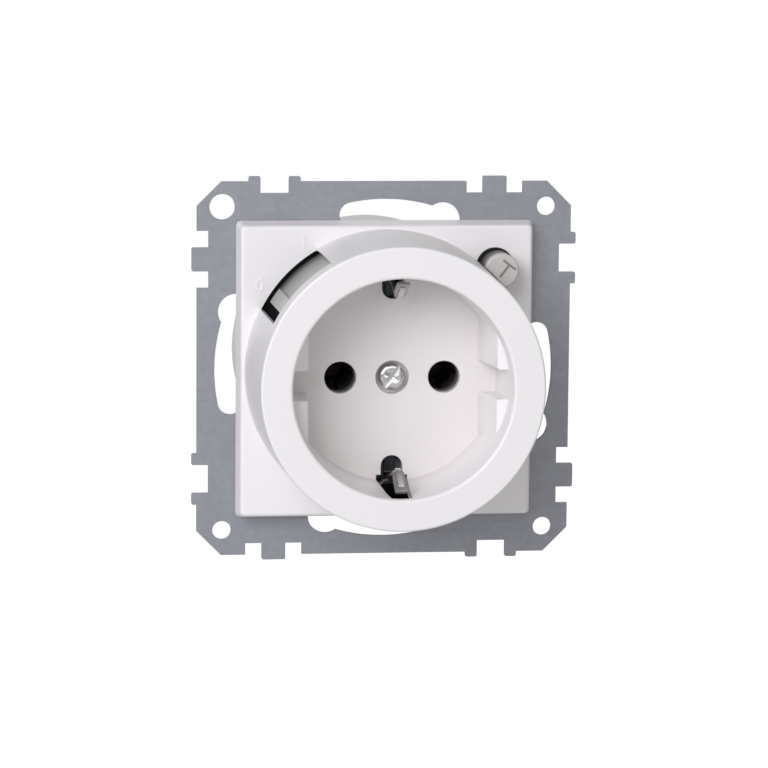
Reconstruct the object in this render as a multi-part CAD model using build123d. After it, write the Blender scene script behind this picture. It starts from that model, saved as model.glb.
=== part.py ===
from build123d import *
import os
from math import atan2, cos, degrees, radians, sin

# Flush wall socket insert for round two-pin plugs with side earth clips, with a
# residual-current release, a reset lever and a test button.
# Modelled lying face up: X right, Y up the wall, Z out of the wall, origin on the
# wall plane at the socket's centre. Every piece is stood up when it is written.
# All lengths are millimetres and all angles are degrees.

# Plug interface
PIN_PITCH = 19.0
PIN_HOLE_R = 2.9
PIN_SLEEVE_R = 2.45
RECESS_R = 19.75
RECESS_FLOOR_R = 19.0
RECESS_DEPTH = 17.5

# Support frame, stamped sheet
SHEET_T = 1.0
FRAME_HALF = 34.65
TAB_PROUD = 0.95
NOTCH_DEPTH = 2.15
FRAME_CORNER_LEG = 4.5
TAB_NEAR = 15.6
TAB_W = 2.15
SOCKET_GAP_W = 5.25
NOTCH_NEAR = 15.1
NOTCH_W = 3.05
TONGUE_W = 4.4
TAB_CORNER_R = 0.3
CORNER_HOLE_INSET = 4.65
CORNER_HOLE_R = 1.725
EARTH_HOLE_R = 2.35
SLOT_INSET = 5.55
SLOT_W = 4.6
SLOT_PLAIN_ANGLE = 12.1
KEYHOLE_ANGLE = 21.3
KEYHOLE_INSET = 5.2
KEYHOLE_R = 3.3

# Cover: centre plate, collar and plug recess in one moulding
PLATE_HALF = 26.8
PLATE_FOOT_HALF = 27.5
PLATE_TOP = 5.0
PLATE_T = 1.5
SKIRT_T = 1.7
SKIRT_GAP = 0.2
PLATE_CORNER_R = 0.9
PLATE_EDGE_R = 0.6
COLLAR_FOOT_R = 26.2
COLLAR_RIM_R = 25.5
COLLAR_H = 26.0
COLLAR_WALL = 1.8
COLLAR_THIN_WALL = 1.0
RIM_T = 2.0
RIM_EDGE_R = 0.45
MOUTH_EDGE_R = 0.6
CUP_WALL = 1.75
FLOOR_T = 2.0
BLOCK_H = 11.0
BLOCK_FOOT_X = 15.7
BLOCK_TOP_X = 17.6
BLOCK_GAP_HALF = 2.7
BLOCK_EDGE_R = 0.6
BLOCK_PAST_WALL = 1.8
SCREW_WELL_R = 3.05
SCREW_WELL_DEPTH = 2.2
COVER_BOSS_R = 4.6
COVER_BOSS_T = 1.3
EARTH_SLOT_HALF = 2.0
EARTH_SLOT_INNER = 14.3
WALL_SLOT_FOOT_HALF = 3.0
WALL_SLOT_TOP_HALF = 1.9
WALL_SLOT_INNER = 17.9
WALL_SLOT_BELOW_RIM = 1.7
POST_AT = 23.4
POST_R = 2.0
COLLAR_RIB_T = 1.2
COLLAR_RIB_H = 7.0
COLLAR_RIB_ANGLES = (0, 60, 180, 225, 300)

# Reset lever and its window
WINDOW_START = 118.0
WINDOW_END = 153.5
WINDOW_R = 26.3
WINDOW_TOP = 26.5
WINDOW_CORNER_R = 1.0
LEVER_TRAVEL = 22.5
LEVER_NIB_START = 142.0
LEVER_NIB_END = 148.5
LEVER_SHIELD_SPAN = 37.0
LEVER_SHIELD_T = 1.4
LEVER_CLEAR = 0.35
LEVER_NIB_PROUD = 1.0
LEVER_NIB_FOOT = 5.6
LEVER_NIB_EDGE_R = 0.25
LEVER_HUB_WALL = 0.8
LEVER_SIDE_PLAY = 0.2
LEVER_FLOOR_T = 1.5
LEVER_TOP_GAP = 0.5
RELIEF_ABOVE = 0.4
RELIEF_PAST_SHIELD = 3.0
RELIEF_PAST_WINDOW = 2.0
BEARING_CLEAR = 0.08
FINGER_START = 341.0
FINGER_SPAN = 8.0
FINGER_R = 20.6
FINGER_T = 1.0
FINGER_TIP_Z = -5.0
FINGER_SWEEP_MARGIN = 1.5

# Test button
BUTTON_ANGLE = 42.5
BUTTON_AT_R = 27.6
BUTTON_HOLE_R = 4.1
BUTTON_R = 3.7
BUTTON_TOP = 8.5
BUTTON_TRAVEL = 1.5
BUTTON_WALL_CLEAR = 0.4
BUTTON_TOP_T = 1.2
BUTTON_EDGE_R = 0.4
BUTTON_FLANGE_R = 4.7
BUTTON_FLANGE_T = 0.8
BUTTON_FLANGE_GAP = 0.1
STEM_AT_R = 21.9
STEM_R = 1.1
STEM_HOLE_R = 1.4
STEM_TIP_Z = -6.0
BUTTON_ARM_HALF = 1.7
BUTTON_SPRING_AT_R = 29.0
BUTTON_SPRING_POCKET_R = 1.9
BUTTON_SPRING_R = 1.45
BUTTON_SPRING_WIRE_R = 0.2
BUTTON_SPRING_TURNS = 5

# Contact carrier: flange, turret and sleeve wells
CARRIER_FLANGE_R = 23.7
CARRIER_FLANGE_T = 2.0
TURRET_R = 19.42
TURRET_WALL = 1.6
TURRET_TOP = 7.9
TURRET_TOP_T = 1.8
SHOULDER_R = 20.2
SHOULDER_H = 2.6
APERTURE_CLEAR = 0.2
WELL_R = 3.7
WELL_WALL = 1.2
WELL_BOTTOM = -8.5
WELL_FLOOR_T = 1.0
CARRIER_BOSS_R = 4.2
CARRIER_RIB_T = 1.6
RETAINER_R = 20.3
RETAINER_T = 1.4
STRAP_GUIDE_H = 0.7
STRAP_GUIDE_T = 1.0
STRAP_GUIDE_SPAN = (5.0, 12.0)

# Contact sleeves
SLEEVE_R = 3.4
SLEEVE_TOP = 7.5
SLEEVE_FLOOR_T = 0.8
SLEEVE_SLIT_W = 0.8
SLEEVE_SLIT_FOOT = -2.0
SLEEVE_MOUTH_R = 2.95
SLEEVE_MOUTH_H = 1.0
SLEEVE_WAIST_R = 3.05
SLEEVE_WAIST = (2.6, 4.8)
SLEEVE_TAIL_HALF = 1.3
SLEEVE_TAIL_T = 0.8
SLEEVE_TAIL_END = -9.6

# Centre screw and its insert
SCREW_R = 1.5
SCREW_HOLE_R = 1.7
SCREW_HEAD_R = 2.4
SCREW_HEAD_H = 1.9
SCREW_LENGTH = 9.8
SCREW_SLOT_W = 0.7
SCREW_SLOT_DEPTH = 0.9
SCREW_CROSS_HALF = 1.4
SCREW_EDGE_SHARE = 0.3
SCREW_TURN = 55.0
INSERT_R = 2.9
INSERT_LENGTH = 7.0
FIT_CLEAR = 0.05

# Earth strap with its two side clips
STRAP_T = 0.7
STRAP_HALF = 3.0
CLIP_LEG_R = 18.7
CLIP_BULGE_R = 15.0
CLIP_TIP_R = 18.7
CLIP_LEG_Z = 15.0
CLIP_BULGE_Z = 22.4
CLIP_TIP_Z = 28.6
CLIP_FOOT_BEND_R = 1.0
CLIP_LEG_BEND_R = 1.6
CLIP_BULGE_BEND_R = 1.8
CLIP_FOOT_HALF = 2.5
CLIP_TONGUE_HALF = 1.3
CLIP_TAPER = (15.8, 18.4)
CLIP_BEAD_HALF = 0.45
CLIP_BEAD_H = 0.3
STRAP_END_R = 13.2
LINK_HALF = 2.0
LINK_FOOT_LENGTH = 4.0
LINK_BEND_R = 0.5

# Housing base
BASE_R = 25.5
BASE_WALL = 1.6
BASE_DEPTH = 33.0
BASE_FLOOR_T = 1.8
BASE_RIM_R = 26.2
BASE_RIM_H = 2.0
BASE_CHAMFER = 1.2
BOSS_AT_R = 22.7
BOSS_R = 2.3
BOSS_FOOT = -13.0
FRAME_SCREW_ANGLES = (15, 105, 195, 285)
FRAME_SCREW_R = 1.1
FRAME_SCREW_HOLE_R = 1.35
FRAME_SCREW_HEAD_R = 2.0
FRAME_SCREW_HEAD_H = 1.2
FRAME_SCREW_EDGE_R = 0.5
FRAME_SCREW_CROSS_HALF = 1.2
FRAME_SCREW_CROSS_DEPTH = 0.7
FRAME_SCREW_TIP = -10.5
SEAT_GAP = 0.2

# Terminals
TERMINAL_ANGLES = {"pe": 270, "l": 315, "n": 225}
TERMINAL_INNER_R = 15.3
TERMINAL_DEPTH = 6.6
TERMINAL_HALF = 3.8
TERMINAL_ABOVE_FLOOR = 4.7
TERMINAL_H = 8.5
TERMINAL_WIRE_AT_R = 18.0
TERMINAL_WIRE_R = 1.8
WIRE_HOLE_R = 2.0
TERMINAL_RIB_T = 1.2
TERMINAL_SCREW_UP = 4.3
TERMINAL_SCREW_R = 1.7
TERMINAL_SCREW_HEAD_R = 2.4
TERMINAL_SCREW_HEAD_H = 1.6
TERMINAL_SCREW_GAP = 0.2
TERMINAL_SCREW_TIP_SHARE = 0.6
TERMINAL_SLOT_HALF = 0.35
TERMINAL_SLOT_DEPTH = 0.8
TERMINAL_EDGE = 0.5
DRIVER_HOLE_R = 2.7

# Switching contacts
CONTACT_X = 7.9
MAINS_CONTACT_Y = -7.9
LOAD_CONTACT_Y = -0.5
CONTACT_ABOVE_FLOOR = 12.0
CONTACT_BUTTON_R = 1.3
CONTACT_BUTTON_H = 0.6
CONTACT_STRIP_HALF = 1.6
CONTACT_STRIP_T = 0.8
CONTACT_GAP = 2.2
BRIDGE_TRAVEL = 2.0
MOVING_BAR_T = 1.0
BRIDGE_Y = -4.2
BRIDGE_HALF = 2.0
BRIDGE_T = 2.2
BRIDGE_REACH = 9.5
BRIDGE_HUB_R = 3.6
BRIDGE_HUB_DROP = 2.1
BRIDGE_POST_R = 2.0
BRIDGE_POST_ABOVE = 2.2
FOLLOWER_ARM_HALF = 1.6
FOLLOWER_ARM_ANGLE = 333.0
FOLLOWER_CLEAR = 0.3
BRIDGE_NOSE_HALF = 0.9
BRIDGE_NOSE_Y = -2.3
BRIDGE_SPRING_R = 2.9
BRIDGE_SPRING_WIRE_R = 0.3
BRIDGE_SPRING_TURNS = 5

# Latch between the relay and the contact bridge
LATCH_PIVOT = (-5.5, 3.2)
LATCH_ABOVE_BRIDGE = 2.3
LATCH_T = 1.5
LATCH_POST_R = 1.2
LATCH_COLUMN_R = 1.9
LATCH_HUB_R = 2.1
LATCH_HALF = 0.75
LATCH_SEAT_GAP = 0.1
LATCH_HOOK_SHIFT = 1.1
LATCH_HOOK_REACH = 6.0
LATCH_HOOK_GAP = 0.35
LATCH_ARM_SHIFT = 0.7
LATCH_ARM_REACH = 4.8
LATCH_LEG_W = 1.8
LATCH_LEG_LENGTH = 8.1

# Circuit board and the pieces on it
BOARD_R = 22.6
BOARD_T = 1.6
BOARD_ABOVE_FLOOR = 3.2
BOARD_EDGE_Y = -6.2
BOARD_CLEAR = 0.4
PAD_R = 2.5
PEG_R = 0.9
PEG_ABOVE = 0.6
PAD_PLACES = ((15.5, -2.5), (-15.5, -2.5), (4.0, 21.0))
CORE_AT_Y = 12.8
CORE_R = 7.4
CORE_HOLE_R = 4.9
CORE_H = 5.8
WINDING_T = 0.7
WINDING_GROOVES = 16
WINDING_GROOVE_HALF = 0.3
WINDING_GROOVE_DEPTH = 0.25
WINDING_FOOT_H = 0.4
WINDING_FOOT_T = 0.7
WINDING_FOOT_HALF = 1.5
LOAD_LINK_T = 0.8
LOAD_LINK_HALF = 1.5
LOAD_LINK_LEG_X = 1.5
RELAY_X = (-20.0, -9.5)
RELAY_HALF = 4.0
RELAY_SHEET_T = 1.0
RELAY_FOOT_H = 6.2
RELAY_AXIS_ABOVE_BOARD = 11.4
RELAY_COIL_R = 3.4
RELAY_COIL_INSET = 0.4
RELAY_FLANGE_T = 0.8
RELAY_CHEEK_ABOVE = 0.6
RELAY_BASE_WALL = 1.5
PLUNGER_R = 0.9
PLUNGER_EDGE = 0.2
PLUNGER_Y = 7.1
PLUNGER_GAP = 0.35
PLUNGER_LENGTH = 9.4
RESISTOR_AT = (17.2, 4.0)
RESISTOR_R = 1.6
RESISTOR_LENGTH = 7.0
LEAD_R = 0.35
VARISTOR_AT = (12.9, 3.4)
VARISTOR_R = 3.8
VARISTOR_T = 3.0
CAPACITOR_AT = (-11.6, 15.0)
CAPACITOR_SIZE = (4.8, 5.0, 8.0)
CAPACITOR_EDGE_R = 0.5
BODY_ABOVE_BOARD = 0.4
RESISTOR_LEAD_OUT = 1.2
VARISTOR_LEAD_X = 0.8
VARISTOR_LEAD_Y = 2.4
VARISTOR_EDGE_R = 0.6
TEST_LEAF_GAP = 0.35
TEST_LEAF_INNER_R = 17.0
TEST_LEAF_OUTER_R = 23.0
TEST_LEAF_HALF = 1.4
TEST_LEAF_T = 0.6

# Places and levels that follow from the sizes above
FRAME_TAB_HALF = FRAME_HALF + TAB_PROUD
FRAME_NOTCH_HALF = FRAME_HALF - NOTCH_DEPTH
CORNER_HOLE_AT = FRAME_HALF - CORNER_HOLE_INSET
SLOT_R = FRAME_HALF - SLOT_INSET
KEYHOLE_AT_R = FRAME_HALF - KEYHOLE_INSET
RIM_Z = PLATE_TOP + COLLAR_H
FLOOR_Z = RIM_Z - RECESS_DEPTH
FLOOR_UNDER = FLOOR_Z - FLOOR_T
BLOCK_TOP = FLOOR_Z + BLOCK_H
CUP_R = RECESS_R + CUP_WALL
PLATE_UNDER = PLATE_TOP - PLATE_T
SKIRT_Z = SHEET_T + SKIRT_GAP
SCREW_SEAT_Z = FLOOR_Z - SCREW_WELL_DEPTH
COVER_BOSS_Z = SCREW_SEAT_Z - COVER_BOSS_T
PIN_X = PIN_PITCH / 2
COLLAR_SLOPE = (COLLAR_FOOT_R - COLLAR_RIM_R) / COLLAR_H
RETAINER_TOP = TURRET_TOP + RETAINER_T
BASE_BORE_R = BASE_R - BASE_WALL
BASE_FLOOR_Z = BASE_FLOOR_T - BASE_DEPTH
APERTURE_R = SHOULDER_R + APERTURE_CLEAR
CARRIER_UNDER = -CARRIER_FLANGE_T
SLEEVE_BOTTOM = WELL_BOTTOM + WELL_FLOOR_T
BOARD_TOP = BASE_FLOOR_Z + BOARD_ABOVE_FLOOR
BOARD_UNDER = BOARD_TOP - BOARD_T
RELAY_AXIS_Z = BOARD_TOP + RELAY_AXIS_ABOVE_BOARD
TERMINAL_BOTTOM = BASE_FLOOR_Z + TERMINAL_ABOVE_FLOOR
TERMINAL_TOP = TERMINAL_BOTTOM + TERMINAL_H
TERMINAL_SCREW_Z = TERMINAL_BOTTOM + TERMINAL_SCREW_UP
CONTACT_TOP = BASE_FLOOR_Z + CONTACT_ABOVE_FLOOR
MOVING_BUTTON_Z = CONTACT_TOP + CONTACT_GAP
MOVING_BAR_TOP = MOVING_BUTTON_Z + CONTACT_BUTTON_H + MOVING_BAR_T
BRIDGE_TOP = MOVING_BAR_TOP + BRIDGE_T
BRIDGE_POST_TOP = BRIDGE_TOP + BRIDGE_POST_ABOVE
LATCH_TOP = BRIDGE_TOP + LATCH_ABOVE_BRIDGE
TEST_LEAF_TOP = STEM_TIP_Z - BUTTON_TRAVEL - TEST_LEAF_GAP
LEVER_HUB_BOTTOM = SHOULDER_H + LEVER_SIDE_PLAY
LEVER_HUB_TOP = TURRET_TOP - LEVER_SIDE_PLAY
LEVER_TOP = WINDOW_TOP - LEVER_TOP_GAP
SHIELD_START = LEVER_NIB_END - LEVER_SHIELD_SPAN

# Length by which a cut runs past a face, or a joined solid runs into the next
PAST = 1.0
INTO = 0.5

# Play in which an edge counts as lying at a place
NEAR = 0.01

FLAT = (Align.CENTER, Align.CENTER, Align.MIN)


def collar_r(z, inset=0.0):
    """Outer radius of the tapered collar at a height, less an inset."""
    return COLLAR_FOOT_R - COLLAR_SLOPE * (z - PLATE_TOP) - inset


def rod(radius, z_low, z_high, x=0.0, y=0.0):
    """Upright cylinder between two heights."""
    return Pos(x, y, z_low) * Cylinder(radius, z_high - z_low, align=FLAT)


def taper(r_low, r_high, z_low, z_high):
    """Upright cone frustum on the socket's axis."""
    return Pos(0, 0, z_low) * Cone(r_low, r_high, z_high - z_low, align=FLAT)


def block(x_low, x_high, y_low, y_high, z_low, z_high):
    """Box between two corners."""
    middle = Pos((x_low + x_high) / 2, (y_low + y_high) / 2, z_low)
    return middle * Box(x_high - x_low, y_high - y_low, z_high - z_low, align=FLAT)


def radial_block(angle, r_low, r_high, half, z_low, z_high):
    """Box that lies along a radius at an angle."""
    return Rot(0, 0, angle) * block(r_low, r_high, -half, half, z_low, z_high)


def radial_rod(angle, radius, r_low, r_high, z):
    """Cylinder whose axis is a radius at an angle and height."""
    bar = Pos(r_low, 0, z) * (Rot(0, 90, 0) * Cylinder(radius, r_high - r_low, align=FLAT))
    return Rot(0, 0, angle) * bar


def polar(radius, angle):
    """Point at a radius and angle."""
    return (radius * cos(radians(angle)), radius * sin(radians(angle)))


def sector_face(r_low, r_high, start, end):
    """Flat piece of a ring between two angles."""
    outer = CenterArc((0, 0), r_high, start, end - start)
    inner = CenterArc((0, 0), r_low, start, end - start)
    sides = [Line(outer @ 0, inner @ 0), Line(outer @ 1, inner @ 1)]
    return make_face([outer, inner] + sides)


def sector(r_low, r_high, start, end, z_low, z_high):
    """Upright piece of a ring between two angles and two heights."""
    return Pos(0, 0, z_low) * extrude(sector_face(r_low, r_high, start, end), z_high - z_low)


def coil(radius, wire_r, turns, z_low, z_high, x=0.0, y=0.0):
    """Helical spring whose wire lies between two heights."""
    height = z_high - z_low - 2 * wire_r
    path = Helix(height / turns, height, radius)
    section = Plane(origin=path @ 0, z_dir=path % 0) * Circle(wire_r)
    return Pos(x, y, z_low + wire_r) * sweep(section, path=path, is_frenet=True)


def frame_outline():
    """Square sheet with cut corners, and the tabs and notches that join frames in a row."""
    sheet = Rectangle(2 * FRAME_HALF, 2 * FRAME_HALF)
    sheet = chamfer(sheet.vertices(), FRAME_CORNER_LEG)
    overlap = FRAME_HALF - FRAME_NOTCH_HALF
    tab_reach = FRAME_TAB_HALF - FRAME_NOTCH_HALF
    tab_mid = FRAME_NOTCH_HALF + tab_reach / 2
    notch_mid = FRAME_NOTCH_HALF + overlap / 2
    far_tab = TAB_NEAR + TAB_W + SOCKET_GAP_W
    far_notch = NOTCH_NEAR + NOTCH_W + TONGUE_W
    for side in range(4):
        turn = Rot(0, 0, -90 * side)
        for near in (TAB_NEAR, far_tab):
            tab = RectangleRounded(TAB_W, tab_reach, TAB_CORNER_R)
            sheet += turn * Pos(-near - TAB_W / 2, tab_mid) * tab
        tongue = RectangleRounded(TONGUE_W, tab_reach, TAB_CORNER_R)
        sheet += turn * Pos(NOTCH_NEAR + NOTCH_W + TONGUE_W / 2, tab_mid) * tongue
        gap_x = -TAB_NEAR - TAB_W - SOCKET_GAP_W / 2
        sheet -= turn * Pos(gap_x, notch_mid) * Rectangle(SOCKET_GAP_W, overlap)
        for near in (NOTCH_NEAR, far_notch):
            sheet -= turn * Pos(near + NOTCH_W / 2, notch_mid) * Rectangle(NOTCH_W, overlap)
    return sheet


def frame_slot():
    """Curved keyhole slot of the upper side, for a box screw."""
    start = 90 - KEYHOLE_ANGLE
    path = CenterArc((0, 0), SLOT_R, start, KEYHOLE_ANGLE + SLOT_PLAIN_ANGLE)
    keyhole = Pos(*polar(KEYHOLE_AT_R, start)) * Circle(KEYHOLE_R)
    return SlotArc(path, SLOT_W) + keyhole


def support_frame():
    """Stamped sheet that carries the insert and is screwed to the wall box."""
    sheet = frame_outline()
    sheet -= Circle(APERTURE_R)
    for side in range(4):
        sheet -= Rot(0, 0, -90 * side) * frame_slot()
    for x, y in ((1, 1), (1, -1), (-1, -1)):
        sheet -= Pos(x * CORNER_HOLE_AT, y * CORNER_HOLE_AT) * Circle(CORNER_HOLE_R)
    sheet -= Pos(-CORNER_HOLE_AT, CORNER_HOLE_AT) * Circle(EARTH_HOLE_R)
    for angle in FRAME_SCREW_ANGLES:
        sheet -= Pos(*polar(BOSS_AT_R, angle)) * Circle(FRAME_SCREW_HOLE_R)
    notch = Pos(STEM_AT_R, 0) * Circle(STEM_HOLE_R)
    notch += Pos(STEM_AT_R - PAST, 0) * Rectangle(2 * PAST, 2 * STEM_HOLE_R)
    sheet -= Rot(0, 0, BUTTON_ANGLE) * notch
    low, high = finger_sweep()
    outer = FINGER_R + FINGER_T + 2 * APERTURE_CLEAR
    sheet -= sector_face(APERTURE_R - PAST, outer, low, high)
    return extrude(sheet, SHEET_T)


def finger_sweep(margin=FINGER_SWEEP_MARGIN):
    """Angles that the lever's drive finger passes over, with a margin."""
    low = FINGER_START - LEVER_TRAVEL - margin
    return low, FINGER_START + FINGER_SPAN + margin


def guide_block(side, end):
    """One of the four drafted blocks that guide the plug's flats in the recess."""
    deep = RECESS_R + PAST
    points = [(BLOCK_FOOT_X, FLOOR_Z - NEAR), (BLOCK_TOP_X, BLOCK_TOP)]
    points += [(deep, BLOCK_TOP), (deep, FLOOR_Z - NEAR)]
    profile = make_face(Polyline(points, close=True))
    meets_wall = (RECESS_R ** 2 - BLOCK_FOOT_X ** 2) ** 0.5
    length = meets_wall + BLOCK_PAST_WALL - BLOCK_GAP_HALF
    wedge = extrude(Plane.XZ * profile, -length)
    wedge = Pos(0, BLOCK_GAP_HALF, 0) * wedge
    soft = [e for e in wedge.edges() if abs(e.center().Y - BLOCK_GAP_HALF) < NEAR]
    soft = [e for e in soft if e.center().X < BLOCK_TOP_X and e.center().Z > FLOOR_Z + 1]
    soft += [e for e in wedge.edges() if abs(e.center().Z - BLOCK_TOP) < NEAR and
             abs(e.center().X - BLOCK_TOP_X) < NEAR]
    wedge = fillet(soft, BLOCK_EDGE_R)
    if side < 0:
        wedge = mirror(wedge, Plane.YZ)
    if end < 0:
        wedge = mirror(wedge, Plane.XZ)
    return wedge


def plug_recess():
    """Space that the plug's body fills: a round well with a guide at each side."""
    space = taper(RECESS_FLOOR_R, RECESS_R, FLOOR_Z, BLOCK_TOP)
    space += rod(RECESS_R, BLOCK_TOP, RIM_Z + 1)
    for side in (-1, 1):
        for end in (-1, 1):
            space -= guide_block(side, end)
    return space


def earth_opening():
    """Slot in the recess floor and wall for the upper earth clip."""
    outer = CUP_R + PAST / 2
    low = FLOOR_UNDER - PAST / 2
    slot = Pos(0, EARTH_SLOT_INNER + EARTH_SLOT_HALF) * Circle(EARTH_SLOT_HALF)
    rest = outer - EARTH_SLOT_INNER - EARTH_SLOT_HALF
    slot += Pos(0, outer - rest / 2) * Rectangle(2 * EARTH_SLOT_HALF, rest)
    opening = Pos(0, 0, low) * extrude(slot, FLOOR_T + PAST)
    top = RIM_Z - WALL_SLOT_BELOW_RIM
    points = [(-WALL_SLOT_FOOT_HALF, low), (WALL_SLOT_FOOT_HALF, low)]
    points += [(WALL_SLOT_TOP_HALF, top), (-WALL_SLOT_TOP_HALF, top)]
    wall = make_face(Polyline(points, close=True))
    depth = outer - WALL_SLOT_INNER
    return opening + Pos(0, WALL_SLOT_INNER, 0) * extrude(Plane.XZ * wall, -depth)


def button_outline(radius, wall_clear):
    """Round outline that the collar's foot cuts off on its inner side."""
    outline = Pos(*polar(BUTTON_AT_R, BUTTON_ANGLE)) * Circle(radius)
    return outline - Circle(COLLAR_FOOT_R + wall_clear)


def lever_window():
    """Opening at the collar's foot that the reset lever moves in."""
    face = sector_face(CUP_R + PAST, WINDOW_R, WINDOW_START, WINDOW_END)
    corner = Vector(*polar(WINDOW_R, WINDOW_START), 0)
    nearest = face.vertices().sort_by(lambda v: (Vector(v) - corner).length)[0]
    face = fillet(nearest, WINDOW_CORNER_R)
    return Pos(0, 0, SKIRT_Z) * extrude(face, WINDOW_TOP - SKIRT_Z)


def lever_relief():
    """Space inside the collar, where its wall is thinner along the lever's way."""
    low = PLATE_UNDER
    high = WINDOW_TOP + RELIEF_ABOVE
    thin = taper(collar_r(low, COLLAR_THIN_WALL), collar_r(high, COLLAR_THIN_WALL), low, high)
    start = SHIELD_START - LEVER_TRAVEL - RELIEF_PAST_SHIELD
    end = WINDOW_END + RELIEF_PAST_WINDOW
    return thin & sector(CUP_R + INTO, COLLAR_FOOT_R, start, end, low, high)


def cover():
    """Centre plate with the tall round collar and the plug recess, one moulding."""
    foot = Pos(0, 0, SKIRT_Z) * Rectangle(2 * PLATE_FOOT_HALF, 2 * PLATE_FOOT_HALF)
    top = Pos(0, 0, PLATE_TOP) * Rectangle(2 * PLATE_HALF, 2 * PLATE_HALF)
    plate = loft([foot, top])
    corners = [e for e in plate.edges() if abs(e.center().Z - (SKIRT_Z + PLATE_TOP) / 2) < NEAR]
    plate = fillet(corners, PLATE_CORNER_R)
    plate = fillet(plate.faces().sort_by(Axis.Z)[-1].edges(), PLATE_EDGE_R)
    collar = taper(COLLAR_FOOT_R, COLLAR_RIM_R, PLATE_TOP, RIM_Z)
    collar = fillet(collar.faces().sort_by(Axis.Z)[-1].edges(), RIM_EDGE_R)
    body = plate + collar
    inner = PLATE_HALF - SKIRT_T
    body -= block(-inner, inner, -inner, inner, SKIRT_Z, PLATE_UNDER)
    hollow_top = RIM_Z - RIM_T
    body -= taper(collar_r(PLATE_UNDER, COLLAR_WALL), collar_r(hollow_top, COLLAR_WALL),
                  PLATE_UNDER, hollow_top)
    body -= lever_relief()
    body += rod(CUP_R, FLOOR_UNDER, hollow_top)
    outer = collar_r(hollow_top, COLLAR_WALL / 2)
    foot = hollow_top - COLLAR_RIB_H
    for angle in COLLAR_RIB_ANGLES:
        body += radial_block(angle, CUP_R - INTO, outer, COLLAR_RIB_T / 2, foot, hollow_top)
    body += rod(COVER_BOSS_R, COVER_BOSS_Z, FLOOR_UNDER)
    for x, y in ((-1, 1), (-1, -1), (1, -1)):
        body += rod(POST_R, SHEET_T, PLATE_UNDER, x * POST_AT, y * POST_AT)
    body -= plug_recess()
    mouth = [e for e in body.edges().filter_by(GeomType.CIRCLE)
             if abs(e.center().Z - RIM_Z) < NEAR and abs(e.radius - RECESS_R) < NEAR]
    body = fillet(mouth, MOUTH_EDGE_R)
    for x in (-PIN_X, PIN_X):
        body -= rod(PIN_HOLE_R, FLOOR_UNDER - PAST, FLOOR_Z + PAST, x)
    body -= rod(SCREW_WELL_R, SCREW_SEAT_Z, FLOOR_Z + PAST)
    body -= rod(SCREW_HOLE_R, COVER_BOSS_Z - PAST, SCREW_SEAT_Z + PAST)
    body -= earth_opening()
    body -= Rot(0, 0, 180) * earth_opening()
    body -= lever_window()
    hole = button_outline(BUTTON_HOLE_R, FIT_CLEAR)
    body -= Pos(0, 0, PLATE_UNDER - PAST) * extrude(hole, PLATE_T + 2 * PAST)
    return body


def reset_lever():
    """Bearing ring with a curved shield and the lever that shows in the window."""
    hub_in = TURRET_R + BEARING_CLEAR
    hub_out = hub_in + LEVER_HUB_WALL
    ring = rod(hub_out, LEVER_HUB_BOTTOM, LEVER_HUB_TOP)
    ring -= rod(hub_in, LEVER_HUB_BOTTOM - PAST, LEVER_HUB_TOP + PAST)
    root = hub_out - LEVER_HUB_WALL / 2
    top = LEVER_TOP
    inset = COLLAR_THIN_WALL + LEVER_CLEAR
    floor_top = LEVER_HUB_BOTTOM + LEVER_FLOOR_T
    outer = taper(collar_r(LEVER_HUB_BOTTOM, inset), collar_r(top, inset), LEVER_HUB_BOTTOM, top)
    inset += LEVER_SHIELD_T
    inner = taper(collar_r(floor_top, inset), collar_r(top, inset), floor_top, top)
    wedge = sector(root, COLLAR_FOOT_R, SHIELD_START, LEVER_NIB_END, LEVER_HUB_BOTTOM, top)
    shield = (outer & wedge) - inner
    proud = LEVER_NIB_PROUD - LEVER_CLEAR - COLLAR_THIN_WALL
    nib = taper(collar_r(LEVER_NIB_FOOT, -proud), collar_r(top, -proud), LEVER_NIB_FOOT, top)
    inset = COLLAR_THIN_WALL + LEVER_CLEAR + LEVER_SHIELD_T / 2
    nib -= taper(collar_r(LEVER_NIB_FOOT, inset), collar_r(top, inset), LEVER_NIB_FOOT, top)
    outer_r = COLLAR_FOOT_R + PAST
    nib &= sector(CUP_R, outer_r, LEVER_NIB_START, LEVER_NIB_END, LEVER_NIB_FOOT, top)
    middle = (LEVER_NIB_FOOT + top) / 2
    face_r = collar_r(middle, -proud)
    edges = [e for e in nib.edges() if abs(e.center().Z - middle) < 1
             and Vector(e.center().X, e.center().Y, 0).length > face_r - LEVER_SHIELD_T / 4]
    nib = fillet(edges, LEVER_NIB_EDGE_R)
    end = FINGER_START + FINGER_SPAN
    tab = sector(root, FINGER_R + FINGER_T, FINGER_START, end, LEVER_HUB_BOTTOM, floor_top)
    finger = sector(FINGER_R, FINGER_R + FINGER_T, FINGER_START, end, FINGER_TIP_Z, floor_top)
    return ring + shield + nib + tab + finger


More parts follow.
